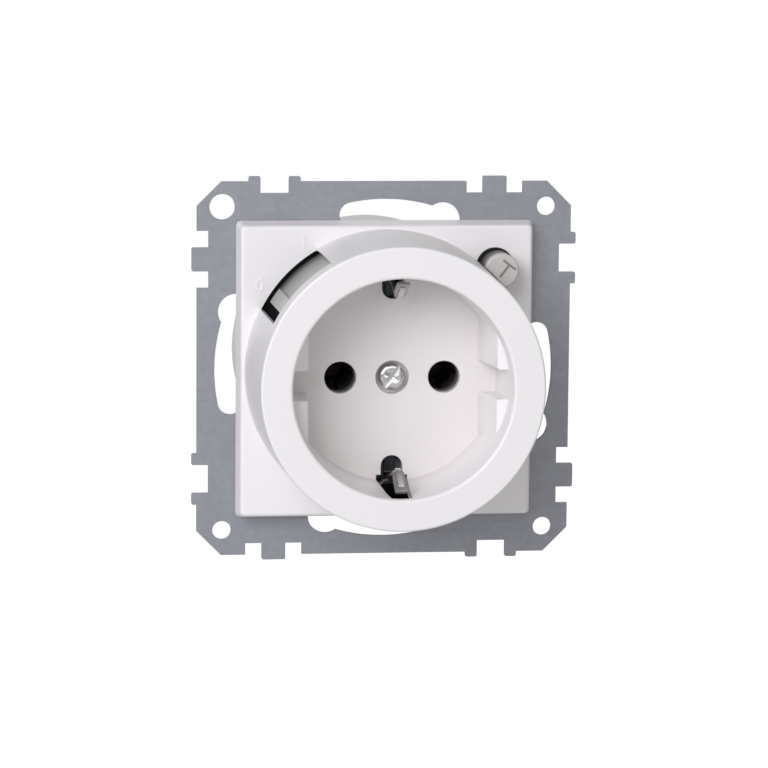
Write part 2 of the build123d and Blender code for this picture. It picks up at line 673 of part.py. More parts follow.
def test_button():
    """Cap with a flange under the plate and an arm to the stem that works the contact."""
    flange_top = PLATE_UNDER - BUTTON_FLANGE_GAP
    flange_low = flange_top - BUTTON_FLANGE_T
    cap = extrude(button_outline(BUTTON_R, BUTTON_WALL_CLEAR), BUTTON_TOP - flange_low)
    cap = Pos(0, 0, flange_low) * cap
    cap = fillet(cap.faces().sort_by(Axis.Z)[-1].edges(), BUTTON_EDGE_R)
    flange = extrude(button_outline(BUTTON_FLANGE_R, BUTTON_WALL_CLEAR), BUTTON_FLANGE_T)
    body = cap + Pos(0, 0, flange_low) * flange
    reach = COLLAR_FOOT_R + BUTTON_WALL_CLEAR + INTO
    body += radial_block(BUTTON_ANGLE, STEM_AT_R, reach, BUTTON_ARM_HALF, flange_low, flange_top)
    stem_x, stem_y = polar(STEM_AT_R, BUTTON_ANGLE)
    body += rod(STEM_R, STEM_TIP_Z, flange_top, stem_x, stem_y)
    pocket_x, pocket_y = polar(BUTTON_SPRING_AT_R, BUTTON_ANGLE)
    pocket_top = BUTTON_TOP - BUTTON_TOP_T
    body -= rod(BUTTON_SPRING_POCKET_R, flange_low - PAST, pocket_top, pocket_x, pocket_y)
    return body


def test_button_spring():
    """Spring in the cap's pocket, standing on the support frame."""
    x, y = polar(BUTTON_SPRING_AT_R, BUTTON_ANGLE)
    top = BUTTON_TOP - BUTTON_TOP_T
    return coil(BUTTON_SPRING_R, BUTTON_SPRING_WIRE_R, BUTTON_SPRING_TURNS, SHEET_T, top, x, y)


def centre_screw():
    """Raised-head machine screw with a slot and a cross, that holds the cover."""
    head_top = SCREW_SEAT_Z + SCREW_HEAD_H
    head = rod(SCREW_HEAD_R, SCREW_SEAT_Z, head_top)
    head = fillet(head.faces().sort_by(Axis.Z)[-1].edges(), SCREW_HEAD_R * SCREW_EDGE_SHARE)
    shank = rod(SCREW_R, SCREW_SEAT_Z - SCREW_LENGTH, SCREW_SEAT_Z)
    shank = chamfer(shank.faces().sort_by(Axis.Z)[0].edges(), SCREW_R * SCREW_EDGE_SHARE)
    low = head_top - SCREW_SLOT_DEPTH
    half = SCREW_SLOT_W / 2
    slot = block(-SCREW_HEAD_R, SCREW_HEAD_R, -half, half, low, head_top + PAST)
    slot += block(-half, half, -SCREW_CROSS_HALF, SCREW_CROSS_HALF, low, head_top + PAST)
    return head + shank - Rot(0, 0, SCREW_TURN) * slot


def threaded_insert():
    """Brass bush in the carrier that the centre screw is driven into."""
    low = TURRET_TOP - INSERT_LENGTH
    bore = rod(SCREW_R + FIT_CLEAR, low - PAST, TURRET_TOP + PAST)
    return rod(INSERT_R, low, TURRET_TOP) - bore


def earth_clip():
    """Upper spring clip, bent up from the strap's end and bowed towards the plug."""
    level = RETAINER_TOP + STRAP_T / 2
    points = [(STRAP_END_R - INTO, level), (CLIP_LEG_R, level), (CLIP_LEG_R, CLIP_LEG_Z)]
    points += [(CLIP_BULGE_R, CLIP_BULGE_Z), (CLIP_TIP_R, CLIP_TIP_Z)]
    bends = [CLIP_FOOT_BEND_R, CLIP_LEG_BEND_R, CLIP_BULGE_BEND_R]
    line = FilletPolyline(*points, radius=bends)
    strip = extrude(Plane.YZ * trace(line, STRAP_T), CLIP_FOOT_HALF, both=True)
    bead = trace(line, STRAP_T + 2 * CLIP_BEAD_H)
    bead = extrude(Plane.YZ * bead, CLIP_BEAD_HALF, both=True)
    bead &= block(-STRAP_HALF, STRAP_HALF, 0, CUP_R, CLIP_LEG_Z, CLIP_TIP_Z - PAST)
    low, high = CLIP_TAPER
    foot, tongue = CLIP_FOOT_HALF, CLIP_TONGUE_HALF
    tip = CLIP_TIP_Z + PAST
    shape = [(-foot, 0), (foot, 0), (foot, low), (tongue, high), (tongue, tip)]
    shape += [(-tongue, tip), (-tongue, high), (-foot, low)]
    front = extrude(Plane.XZ * make_face(Polyline(shape, close=True)), -CUP_R)
    return (strip & front) + bead


def earth_strap():
    """Flat strap across the carrier with an earth clip bent up at each end."""
    top = RETAINER_TOP + STRAP_T
    strap = block(-STRAP_HALF, STRAP_HALF, -STRAP_END_R, STRAP_END_R, RETAINER_TOP, top)
    strap = chamfer(strap.edges().filter_by(Axis.Z), (STRAP_HALF - CLIP_FOOT_HALF) / 2)
    clip = earth_clip()
    strap += clip
    strap += Rot(0, 0, 180) * clip
    return strap - rod(SCREW_HOLE_R, RETAINER_TOP - PAST, top + PAST)


def earth_link():
    """Strip from under the strap down to the earth terminal."""
    face_y = -TERMINAL_INNER_R
    leg = block(-LINK_HALF, LINK_HALF, face_y, face_y + STRAP_T, TERMINAL_BOTTOM, RETAINER_TOP)
    low = RETAINER_TOP - STRAP_T
    end_y = face_y + LINK_FOOT_LENGTH
    foot = block(-LINK_HALF, LINK_HALF, face_y, end_y, low, RETAINER_TOP)
    link = leg + foot
    bend = [e for e in link.edges().filter_by(Axis.X)
            if abs(e.center().Y - face_y) < NEAR and abs(e.center().Z - RETAINER_TOP) < NEAR]
    return fillet(bend, LINK_BEND_R)


def contact_retainer():
    """Insulating disc that closes the sleeve wells and keeps the lever's ring down."""
    disc = rod(RETAINER_R, TURRET_TOP, RETAINER_TOP)
    inner = STRAP_HALF + SEAT_GAP
    near, far = STRAP_GUIDE_SPAN
    top = RETAINER_TOP + STRAP_GUIDE_H
    for side in (-1, 1):
        x_low, x_high = sorted((side * inner, side * (inner + STRAP_GUIDE_T)))
        disc += block(x_low, x_high, -far, -near, RETAINER_TOP, top)
        disc += block(x_low, x_high, near, far, RETAINER_TOP, top)
        disc -= rod(PIN_HOLE_R, TURRET_TOP - PAST, RETAINER_TOP + PAST, side * PIN_X)
    disc -= rod(SCREW_HOLE_R, TURRET_TOP - PAST, RETAINER_TOP + PAST)
    return disc - link_passage(TURRET_TOP - PAST, top + PAST)


def link_passage(z_low, z_high):
    """Way for the earth link through the carrier and the disc."""
    half = LINK_HALF + SEAT_GAP
    low = -TERMINAL_INNER_R - SEAT_GAP
    return block(-half, half, low, LINK_FOOT_LENGTH - TERMINAL_INNER_R + SEAT_GAP, z_low, z_high)


def contact_carrier():
    """Insulating insert: flange under the frame, turret through it, and sleeve wells."""
    body = rod(CARRIER_FLANGE_R, CARRIER_UNDER, 0) + rod(SHOULDER_R, 0, SHOULDER_H)
    body += rod(TURRET_R, SHOULDER_H, TURRET_TOP)
    body -= rod(TURRET_R - TURRET_WALL, CARRIER_UNDER, TURRET_TOP - TURRET_TOP_T)
    inner_top = TURRET_TOP - TURRET_TOP_T
    into_top = inner_top + INTO
    body += rod(CARRIER_BOSS_R, 0, into_top)
    rib = CARRIER_RIB_T / 2
    well_near, well_far = PIN_X - WELL_R - INTO, PIN_X + WELL_R + INTO
    for side in (-1, 1):
        body += rod(WELL_R + WELL_WALL, WELL_BOTTOM, into_top, side * PIN_X)
        for low, high in ((0, well_near), (well_far, TURRET_R - INTO)):
            ends = sorted((side * low, side * high))
            body += block(ends[0], ends[1], -rib, rib, 0, into_top)
    low = TURRET_TOP - INSERT_LENGTH
    body -= rod(INSERT_R + FIT_CLEAR, low, TURRET_TOP + PAST)
    body -= rod(SCREW_HOLE_R, -PAST, low + INTO)
    tail = SLEEVE_TAIL_HALF + SEAT_GAP
    tail_t = SLEEVE_TAIL_T / 2 + SEAT_GAP
    for side in (-1, 1):
        x = side * PIN_X
        body -= rod(WELL_R, SLEEVE_BOTTOM, TURRET_TOP + PAST, x)
        body -= block(x - tail, x + tail, -tail_t, tail_t, WELL_BOTTOM - PAST, SLEEVE_BOTTOM + PAST)
    for angle in FRAME_SCREW_ANGLES:
        x, y = polar(BOSS_AT_R, angle)
        body -= rod(FRAME_SCREW_HOLE_R, CARRIER_UNDER - PAST, PAST, x, y)
    stem_x, stem_y = polar(STEM_AT_R, BUTTON_ANGLE)
    body -= rod(STEM_HOLE_R, CARRIER_UNDER - PAST, PAST, stem_x, stem_y)
    start, end = finger_sweep()
    outer = FINGER_R + FINGER_T + APERTURE_CLEAR
    body -= sector(FINGER_R - APERTURE_CLEAR, outer, start, end, CARRIER_UNDER - PAST, PAST)
    return body - link_passage(inner_top - PAST, TURRET_TOP + PAST)


def contact_sleeve(side):
    """Slit brass sleeve that grips a plug pin, with a tail for the load link."""
    x = side * PIN_X
    sleeve = rod(SLEEVE_R, SLEEVE_BOTTOM, SLEEVE_TOP)
    waist_low, waist_high = SLEEVE_WAIST
    outer = SLEEVE_R + PAST
    sleeve -= rod(outer, waist_low, waist_high) - rod(SLEEVE_WAIST_R, waist_low, waist_high)
    sleeve -= rod(PIN_SLEEVE_R, SLEEVE_BOTTOM + SLEEVE_FLOOR_T, SLEEVE_TOP + PAST)
    mouth = SLEEVE_TOP - SLEEVE_MOUTH_H
    sleeve -= taper(PIN_SLEEVE_R, SLEEVE_MOUTH_R, mouth, SLEEVE_TOP)
    half = SLEEVE_SLIT_W / 2
    slit = block(-outer, outer, -half, half, SLEEVE_SLIT_FOOT, SLEEVE_TOP + PAST)
    sleeve -= slit
    sleeve -= Rot(0, 0, 90) * slit
    half = SLEEVE_TAIL_T / 2
    tail_top = SLEEVE_BOTTOM + SLEEVE_FLOOR_T / 2
    sleeve += block(-SLEEVE_TAIL_HALF, SLEEVE_TAIL_HALF, -half, half, SLEEVE_TAIL_END, tail_top)
    return Pos(x, 0, 0) * sleeve


def load_link(side):
    """Strip from a sleeve's tail to the current transformer and down through it."""
    high = SLEEVE_TAIL_END
    low = high - LOAD_LINK_T
    half = LOAD_LINK_HALF
    y_low, y_high = CORE_AT_Y - half, CORE_AT_Y + half
    inner = LOAD_LINK_LEG_X - LOAD_LINK_T / 2
    link = block(PIN_X - half, PIN_X + half, -half, y_high, low, high)
    link += block(inner, PIN_X, y_low, y_high, low, high)
    link += block(inner, inner + LOAD_LINK_T, y_low, y_high, BOARD_TOP, high)
    return link if side > 0 else mirror(link, Plane.YZ)


def transformer_core():
    """Ring core of the current transformer."""
    low = BOARD_TOP + WINDING_FOOT_H + WINDING_T
    ring = rod(CORE_R, low, low + CORE_H) - rod(CORE_HOLE_R, low, low + CORE_H)
    return Pos(0, CORE_AT_Y, 0) * ring


def transformer_winding():
    """Taped winding round the core, with the grooves between its turns."""
    low = BOARD_TOP + WINDING_FOOT_H
    high = low + CORE_H + 2 * WINDING_T
    outer, inner = CORE_R + WINDING_T, CORE_HOLE_R - WINDING_T
    ring = rod(outer, low, high) - rod(inner, low - PAST, high + PAST)
    ring -= rod(CORE_R, low + WINDING_T, high - WINDING_T) - rod(CORE_HOLE_R, low, high)
    groove = outer - WINDING_GROOVE_DEPTH
    for step in range(WINDING_GROOVES):
        angle = step * 360 / WINDING_GROOVES
        ring -= radial_block(angle, groove, outer + PAST, WINDING_GROOVE_HALF, low, high)
    for angle in (90, 270):
        ring += radial_block(angle, CORE_R - WINDING_FOOT_T, CORE_R, WINDING_FOOT_HALF,
                             BOARD_TOP, low + WINDING_T / 2)
    return Pos(0, CORE_AT_Y, 0) * ring


def terminal(name):
    """Clamp block with a hole for the wire and a threaded hole for its screw."""
    angle = TERMINAL_ANGLES[name]
    outer = TERMINAL_INNER_R + TERMINAL_DEPTH
    body = block(TERMINAL_INNER_R, outer, -TERMINAL_HALF, TERMINAL_HALF,
                 TERMINAL_BOTTOM, TERMINAL_TOP)
    body = chamfer(body.edges().filter_by(Axis.Z), TERMINAL_EDGE)
    low, high = TERMINAL_BOTTOM - PAST, TERMINAL_TOP + PAST
    body -= rod(TERMINAL_WIRE_R, low, high, TERMINAL_WIRE_AT_R)
    body -= radial_rod(0, TERMINAL_SCREW_R + FIT_CLEAR, TERMINAL_WIRE_AT_R, outer + PAST,
                       TERMINAL_SCREW_Z)
    return Rot(0, 0, angle) * body


def terminal_screw(name):
    """Slotted clamping screw, driven from the side of the housing."""
    outer = TERMINAL_INNER_R + TERMINAL_DEPTH
    head_low = outer + TERMINAL_SCREW_GAP
    head_high = head_low + TERMINAL_SCREW_HEAD_H
    tip = TERMINAL_WIRE_AT_R + TERMINAL_WIRE_R * TERMINAL_SCREW_TIP_SHARE
    level = TERMINAL_SCREW_Z
    screw = radial_rod(0, TERMINAL_SCREW_R, tip, head_low, level)
    screw += radial_rod(0, TERMINAL_SCREW_HEAD_R, head_low, head_high, level)
    reach = TERMINAL_SCREW_HEAD_R + PAST
    screw -= block(head_high - TERMINAL_SLOT_DEPTH, head_high + PAST, -reach, reach,
                   level - TERMINAL_SLOT_HALF, level + TERMINAL_SLOT_HALF)
    return Rot(0, 0, TERMINAL_ANGLES[name]) * screw


def contact_button(x, y):
    """Silver contact rivet on a fixed strip."""
    return rod(CONTACT_BUTTON_R, CONTACT_TOP - CONTACT_BUTTON_H, CONTACT_TOP, x, y)


def mains_contact(side):
    """Fixed contact on a strip that butts against its terminal block."""
    high = CONTACT_TOP - CONTACT_BUTTON_H
    low = high - CONTACT_STRIP_T
    inner = (CONTACT_X ** 2 + MAINS_CONTACT_Y ** 2) ** 0.5 - CONTACT_STRIP_HALF
    strip = radial_block(TERMINAL_ANGLES["l"], inner, TERMINAL_INNER_R,
                         CONTACT_STRIP_HALF, low, high)
    piece = strip + contact_button(CONTACT_X, MAINS_CONTACT_Y)
    return piece if side > 0 else mirror(piece, Plane.YZ)


def load_contact(side):
    """Fixed contact on a strip that stands on the circuit board."""
    high = CONTACT_TOP - CONTACT_BUTTON_H
    low = high - CONTACT_STRIP_T
    half = CONTACT_STRIP_HALF
    y_high = LOAD_CONTACT_Y + half
    pad = block(CONTACT_X - half, CONTACT_X + half, LOAD_CONTACT_Y - half, y_high, low, high)
    leg = block(CONTACT_X - half, CONTACT_X + half, y_high - CONTACT_STRIP_T, y_high,
                BOARD_TOP, high)
    piece = pad + leg + contact_button(CONTACT_X, LOAD_CONTACT_Y)
    return piece if side > 0 else mirror(piece, Plane.YZ)


def moving_contact(side):
    """Bar with two contact rivets that joins the mains and load contacts."""
    low = MOVING_BUTTON_Z + CONTACT_BUTTON_H
    half = CONTACT_STRIP_HALF
    bar = block(CONTACT_X - half, CONTACT_X + half, MAINS_CONTACT_Y - half,
                LOAD_CONTACT_Y + half, low, MOVING_BAR_TOP)
    for y in (MAINS_CONTACT_Y, LOAD_CONTACT_Y):
        bar += rod(CONTACT_BUTTON_R, MOVING_BUTTON_Z, low + MOVING_BAR_T / 2, CONTACT_X, y)
    return bar if side > 0 else mirror(bar, Plane.YZ)


def follower_ramp():
    """Curved wall whose sloping top the lever's finger presses down."""
    start, end = finger_sweep(margin=0.0)
    foot = FINGER_TIP_Z - FOLLOWER_CLEAR
    peak = foot + BRIDGE_TRAVEL
    wall = sector(FINGER_R, FINGER_R + FINGER_T, start, end, MOVING_BAR_TOP, peak)
    middle = FINGER_R + FINGER_T / 2
    run = radians(LEVER_TRAVEL) * middle
    points = [(run / 2, foot), (-run / 2, peak), (-run / 2, peak + PAST)]
    points += [(run, peak + PAST), (run, foot)]
    slope = Plane.YZ * make_face(Polyline(points, close=True))
    cutter = extrude(slope, FINGER_T + PAST, both=True)
    centre = FINGER_START - LEVER_TRAVEL / 2
    return wall - Rot(0, 0, centre) * (Pos(middle, 0, 0) * cutter)


def contact_bridge():
    """Insulating slide that carries both moving contacts on the guide post."""
    low = MOVING_BAR_TOP
    body = block(-BRIDGE_REACH, BRIDGE_REACH, BRIDGE_Y - BRIDGE_HALF, BRIDGE_Y + BRIDGE_HALF,
                 low, BRIDGE_TOP)
    body += rod(BRIDGE_HUB_R, low - BRIDGE_HUB_DROP, BRIDGE_TOP, 0, BRIDGE_Y)
    ramp_x, ramp_y = polar(FINGER_R + FINGER_T / 2, FOLLOWER_ARM_ANGLE)
    reach = Vector(ramp_x, ramp_y - BRIDGE_Y, 0)
    turn = degrees(atan2(reach.Y, reach.X))
    arm = block(0, reach.length, -FOLLOWER_ARM_HALF, FOLLOWER_ARM_HALF, low, BRIDGE_TOP)
    body += Pos(0, BRIDGE_Y, 0) * (Rot(0, 0, turn) * arm)
    body += follower_ramp()
    hook_face = LATCH_PIVOT[0] + LATCH_HOOK_SHIFT + LATCH_HALF
    nose_x = hook_face + LATCH_HOOK_GAP + BRIDGE_NOSE_HALF
    body += block(nose_x - BRIDGE_NOSE_HALF, nose_x + BRIDGE_NOSE_HALF,
                  BRIDGE_NOSE_Y - BRIDGE_NOSE_HALF, BRIDGE_NOSE_Y + BRIDGE_NOSE_HALF,
                  low, LATCH_TOP)
    bore_low = low - BRIDGE_HUB_DROP - PAST
    return body - rod(BRIDGE_POST_R + BEARING_CLEAR, bore_low, LATCH_TOP + PAST, 0, BRIDGE_Y)


def bridge_spring():
    """Spring round the guide post that lifts the bridge off its contacts."""
    low = BASE_FLOOR_Z
    high = MOVING_BAR_TOP - BRIDGE_HUB_DROP
    return coil(BRIDGE_SPRING_R, BRIDGE_SPRING_WIRE_R, BRIDGE_SPRING_TURNS, low, high, 0, BRIDGE_Y)


def latch_lever():
    """Two-armed latch on its own post, pushed by the relay's plunger."""
    x, y = LATCH_PIVOT
    low = LATCH_TOP - LATCH_T
    body = rod(LATCH_HUB_R, low, LATCH_TOP, x, y)
    hook_low, hook_high = x + LATCH_HOOK_SHIFT - LATCH_HALF, x + LATCH_HOOK_SHIFT + LATCH_HALF
    body += block(hook_low, hook_high, y - LATCH_HOOK_REACH, y, low, LATCH_TOP)
    arm_low, arm_high = x - LATCH_ARM_SHIFT - LATCH_HALF, x - LATCH_ARM_SHIFT + LATCH_HALF
    end = y + LATCH_ARM_REACH
    body += block(arm_low, arm_high, y, end, low, LATCH_TOP)
    foot = LATCH_TOP - LATCH_LEG_LENGTH
    body += block(arm_low, arm_high, end - LATCH_LEG_W, end, foot, LATCH_TOP)
    return body - rod(LATCH_POST_R + BEARING_CLEAR, low - PAST, LATCH_TOP + PAST, x, y)


def relay_frame():
    """Steel yoke round the relay's coil."""
    x_low, x_high = RELAY_X
    foot = BOARD_TOP + RELAY_FOOT_H
    y_low, y_high = PLUNGER_Y - RELAY_HALF, PLUNGER_Y + RELAY_HALF
    top = RELAY_AXIS_Z + RELAY_COIL_R + RELAY_CHEEK_ABOVE
    t = RELAY_SHEET_T
    body = block(x_low, x_high, y_low, y_high, foot, top)
    body -= block(x_low + t, x_high - t, y_low - PAST, y_high + PAST, foot + t, top + PAST)
    bore = Cylinder(PLUNGER_R + FIT_CLEAR, t + 2 * PAST, align=FLAT)
    return body - Pos(x_high - t - PAST, PLUNGER_Y, RELAY_AXIS_Z) * (Rot(0, 90, 0) * bore)


def relay_base():
    """Moulded foot that stands the relay on the circuit board."""
    x_low, x_high = RELAY_X
    y_low, y_high = PLUNGER_Y - RELAY_HALF, PLUNGER_Y + RELAY_HALF
    top = BOARD_TOP + RELAY_FOOT_H
    wall = RELAY_BASE_WALL
    body = block(x_low, x_high, y_low, y_high, BOARD_TOP, top)
    return body - block(x_low + wall, x_high - wall, y_low + wall, y_high - wall,
                        BOARD_TOP, top - wall)


def relay_coil():
    """Wound bobbin between the yoke's cheeks."""
    x_low, x_high = RELAY_X
    inner = x_low + RELAY_SHEET_T
    length = x_high - RELAY_SHEET_T - inner
    bobbin = rod(RELAY_COIL_R - RELAY_COIL_INSET, 0, length)
    bobbin += rod(RELAY_COIL_R, 0, RELAY_FLANGE_T)
    bobbin += rod(RELAY_COIL_R, length - RELAY_FLANGE_T, length)
    bobbin -= rod(PLUNGER_R + FIT_CLEAR, -PAST, length + PAST)
    return Pos(inner, PLUNGER_Y, RELAY_AXIS_Z) * (Rot(0, 90, 0) * bobbin)


def trip_plunger():
    """Rod that the relay drives against the latch."""
    leg_face = LATCH_PIVOT[0] - LATCH_ARM_SHIFT - LATCH_HALF
    tip = leg_face - PLUNGER_GAP
    bar = rod(PLUNGER_R, 0, PLUNGER_LENGTH)
    bar = chamfer(bar.faces().sort_by(Axis.Z)[-1].edges(), PLUNGER_EDGE)
    return Pos(tip - PLUNGER_LENGTH, PLUNGER_Y, RELAY_AXIS_Z) * (Rot(0, 90, 0) * bar)


def circuit_board():
    """Board for the current transformer, the relay and the test circuit."""
    face = Circle(BOARD_R) & Pos(0, BOARD_EDGE_Y + BOARD_R) * Rectangle(2 * BOARD_R, 2 * BOARD_R)
    face -= Pos(0, BRIDGE_Y) * Circle(BRIDGE_SPRING_R + BRIDGE_SPRING_WIRE_R + BOARD_CLEAR)
    face -= Pos(*LATCH_PIVOT) * Circle(LATCH_COLUMN_R + BOARD_CLEAR)
    for x, y in PAD_PLACES:
        face -= Pos(x, y) * Circle(PEG_R + FIT_CLEAR)
    return Pos(0, 0, BOARD_UNDER) * extrude(face, BOARD_T)


def lead(x, y, top):
    """Upright lead wire that ends on the board."""
    return rod(LEAD_R, BOARD_TOP, top, x, y)


def test_resistor():
    """Axial resistor of the test circuit, on two bent leads."""
    x, y = RESISTOR_AT
    z = BOARD_TOP + RESISTOR_R + BODY_ABOVE_BOARD
    reach = RESISTOR_LENGTH / 2 + RESISTOR_LEAD_OUT
    body = Cylinder(RESISTOR_R, RESISTOR_LENGTH) + Cylinder(LEAD_R, 2 * reach)
    body = Pos(x, y, z) * (Rot(-90, 0, 0) * body)
    body += lead(x, y - reach, z + LEAD_R)
    body += lead(x, y + reach, z + LEAD_R)
    return body


def varistor():
    """Disc that guards the board against surges."""
    x, y = VARISTOR_AT
    z = BOARD_TOP + VARISTOR_R + BODY_ABOVE_BOARD
    disc = Rot(0, 90, 0) * Cylinder(VARISTOR_R, VARISTOR_T)
    body = Pos(x, y, z) * fillet(disc.edges().filter_by(GeomType.CIRCLE), VARISTOR_EDGE_R)
    body += lead(x - VARISTOR_LEAD_X, y - VARISTOR_LEAD_Y, z)
    body += lead(x + VARISTOR_LEAD_X, y + VARISTOR_LEAD_Y, z)
    return body


def capacitor():
    """Film capacitor of the release circuit."""
    x, y = CAPACITOR_AT
    width, depth, height = CAPACITOR_SIZE
    body = block(x - width / 2, x + width / 2, y - depth / 2, y + depth / 2,
                 BOARD_TOP, BOARD_TOP + height)
    return fillet(body.edges().filter_by(Axis.Z), CAPACITOR_EDGE_R)


def test_contact():
    """Spring strip on the board that the test button's stem comes down on."""
    low = TEST_LEAF_TOP - TEST_LEAF_T
    inner = TEST_LEAF_INNER_R
    leaf = radial_block(BUTTON_ANGLE, inner, TEST_LEAF_OUTER_R, TEST_LEAF_HALF, low, TEST_LEAF_TOP)
    leg = radial_block(BUTTON_ANGLE, inner, inner + TEST_LEAF_T, TEST_LEAF_HALF,
                       BOARD_TOP, TEST_LEAF_TOP)
    return leaf + leg


def terminal_seat(name):
    """Raised seat and side ribs that hold a terminal block in the housing."""
    half = TERMINAL_HALF + SEAT_GAP
    outer = half + TERMINAL_RIB_T
    inner = TERMINAL_INNER_R
    wall = BASE_BORE_R + INTO
    low = BASE_FLOOR_Z - INTO
    seat = block(inner, wall, -outer, outer, low, TERMINAL_BOTTOM)
    for side in (-1, 1):
        y_low, y_high = sorted((side * half, side * outer))
        seat += block(inner, wall, y_low, y_high, low, TERMINAL_TOP)
    return Rot(0, 0, TERMINAL_ANGLES[name]) * (seat & rod(wall, -BASE_DEPTH, 0))


def housing_base():
    """Round rear housing with bosses, posts, terminal seats and wire entries."""
    body = rod(BASE_R, -BASE_DEPTH, 0)
    body = chamfer(body.faces().sort_by(Axis.Z)[0].edges(), BASE_CHAMFER)
    body += rod(BASE_RIM_R, -BASE_RIM_H, 0)
    body -= rod(BASE_BORE_R, BASE_FLOOR_Z, PAST)
    for angle in FRAME_SCREW_ANGLES:
        x, y = polar(BOSS_AT_R, angle)
        boss = rod(BOSS_R, BOSS_FOOT, CARRIER_UNDER, x, y)
        body += boss & rod(BASE_R - INTO, BOSS_FOOT, CARRIER_UNDER)
        body -= rod(FRAME_SCREW_R + FIT_CLEAR, FRAME_SCREW_TIP - PAST, 0, x, y)
    for name, angle in TERMINAL_ANGLES.items():
        body += terminal_seat(name)
        x, y = polar(TERMINAL_WIRE_AT_R, angle)
        body -= rod(WIRE_HOLE_R, -BASE_DEPTH - PAST, TERMINAL_BOTTOM + PAST, x, y)
        body -= radial_rod(angle, DRIVER_HOLE_R, BASE_BORE_R - PAST, BASE_R + PAST,
                           TERMINAL_SCREW_Z)
    low = BASE_FLOOR_Z - INTO
    body += rod(BRIDGE_POST_R, low, BRIDGE_POST_TOP, 0, BRIDGE_Y)
    x, y = LATCH_PIVOT
    shoulder = LATCH_TOP - LATCH_T - LATCH_SEAT_GAP
    body += rod(LATCH_COLUMN_R, low, shoulder, x, y)
    body += rod(LATCH_POST_R, shoulder - INTO, LATCH_TOP + LATCH_SEAT_GAP, x, y)
    for x, y in PAD_PLACES:
        body += rod(PAD_R, low, BOARD_UNDER, x, y)
        body += rod(PEG_R, BOARD_UNDER - INTO, BOARD_TOP + PEG_ABOVE, x, y)
    return body


def frame_screws():
    """Four tapping screws through the frame and the carrier into the housing."""
    screws = []
    half = SCREW_SLOT_W / 2
    for angle in FRAME_SCREW_ANGLES:
        x, y = polar(BOSS_AT_R, angle)
        head_top = SHEET_T + FRAME_SCREW_HEAD_H
        head = rod(FRAME_SCREW_HEAD_R, SHEET_T, head_top)
        head = fillet(head.faces().sort_by(Axis.Z)[-1].edges(), FRAME_SCREW_EDGE_R)
        screw = head + rod(FRAME_SCREW_R, FRAME_SCREW_TIP, SHEET_T)
        reach = FRAME_SCREW_CROSS_HALF
        low = head_top - FRAME_SCREW_CROSS_DEPTH
        cross = block(-reach, reach, -half, half, low, head_top + PAST)
        screw -= cross
        screw -= Rot(0, 0, 90) * cross
        screws.append(Pos(x, y, 0) * screw)
    return Compound(screws)


def pieces():
    """Every piece of the socket under its node name."""
    return {
        "support_frame": support_frame(),
        "cover": cover(),
        "reset_lever": reset_lever(),
        "test_button": test_button(),
        "test_button_spring": test_button_spring(),
        "test_contact": test_contact(),
        "centre_screw": centre_screw(),
        "threaded_insert": threaded_insert(),
        "earth_strap": earth_strap(),
        "earth_link": earth_link(),
        "contact_retainer": contact_retainer(),
        "contact_carrier": contact_carrier(),
        "contact_sleeve_l": contact_sleeve(1),
        "contact_sleeve_n": contact_sleeve(-1),
        "load_link_l": load_link(1),
        "load_link_n": load_link(-1),
        "transformer_core": transformer_core(),
        "transformer_winding": transformer_winding(),
        "terminal_l": terminal("l"),
        "terminal_n": terminal("n"),
        "terminal_pe": terminal("pe"),
        "terminal_screw_l": terminal_screw("l"),
        "terminal_screw_n": terminal_screw("n"),
        "terminal_screw_pe": terminal_screw("pe"),
        "mains_contact_l": mains_contact(1),
        "mains_contact_n": mains_contact(-1),
        "load_contact_l": load_contact(1),
        "load_contact_n": load_contact(-1),
        "moving_contact_l": moving_contact(1),
        "moving_contact_n": moving_contact(-1),
        "contact_bridge": contact_bridge(),
        "bridge_spring": bridge_spring(),
        "latch_lever": latch_lever(),
        "relay_frame": relay_frame(),
        "relay_base": relay_base(),
        "relay_coil": relay_coil(),
        "trip_plunger": trip_plunger(),
        "circuit_board": circuit_board(),
        "test_resistor": test_resistor(),
        "varistor": varistor(),
        "capacitor": capacitor(),
        "housing_base": housing_base(),
        "frame_screws": frame_screws(),
    }


def main():
    """Stand each piece up against the wall and write it."""
    os.makedirs("parts", exist_ok=True)
    for name, piece in pieces().items():
        export_step(Rot(90, 0, 0) * piece, f"parts/{name}.step")


if __name__ == "__main__":
    main()
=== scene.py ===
"""Dresses a type F wall socket insert with a reset lever and a test button.

Each piece is modelled lying face up, in millimetres on the bench: x right, y up the wall,
z out of the wall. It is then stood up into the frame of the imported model, in metres.
"""
import logging
import math
from dataclasses import dataclass
from enum import Enum
from typing import Callable, Optional, Sequence

import bpy
from mathutils import Matrix, Vector


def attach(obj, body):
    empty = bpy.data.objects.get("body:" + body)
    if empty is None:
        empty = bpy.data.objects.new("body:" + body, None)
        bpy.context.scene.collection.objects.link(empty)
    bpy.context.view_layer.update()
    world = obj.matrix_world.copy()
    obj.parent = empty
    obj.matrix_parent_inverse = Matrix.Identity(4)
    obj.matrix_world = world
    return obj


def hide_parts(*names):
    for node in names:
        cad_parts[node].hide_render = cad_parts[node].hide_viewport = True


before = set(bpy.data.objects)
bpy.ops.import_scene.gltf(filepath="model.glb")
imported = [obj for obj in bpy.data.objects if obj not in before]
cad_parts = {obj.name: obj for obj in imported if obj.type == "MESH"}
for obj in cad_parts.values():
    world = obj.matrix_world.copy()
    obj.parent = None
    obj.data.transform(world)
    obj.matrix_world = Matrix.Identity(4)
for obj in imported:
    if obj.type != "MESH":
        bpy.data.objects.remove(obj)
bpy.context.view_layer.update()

MM = 0.001
LOG = logging.getLogger("socket")

Point2 = tuple[float, float]
Point3 = tuple[float, float, float]
Solid = bpy.types.Object
Tree = bpy.types.NodeTree
Nodes = dict[str, tuple[str, object, dict]]

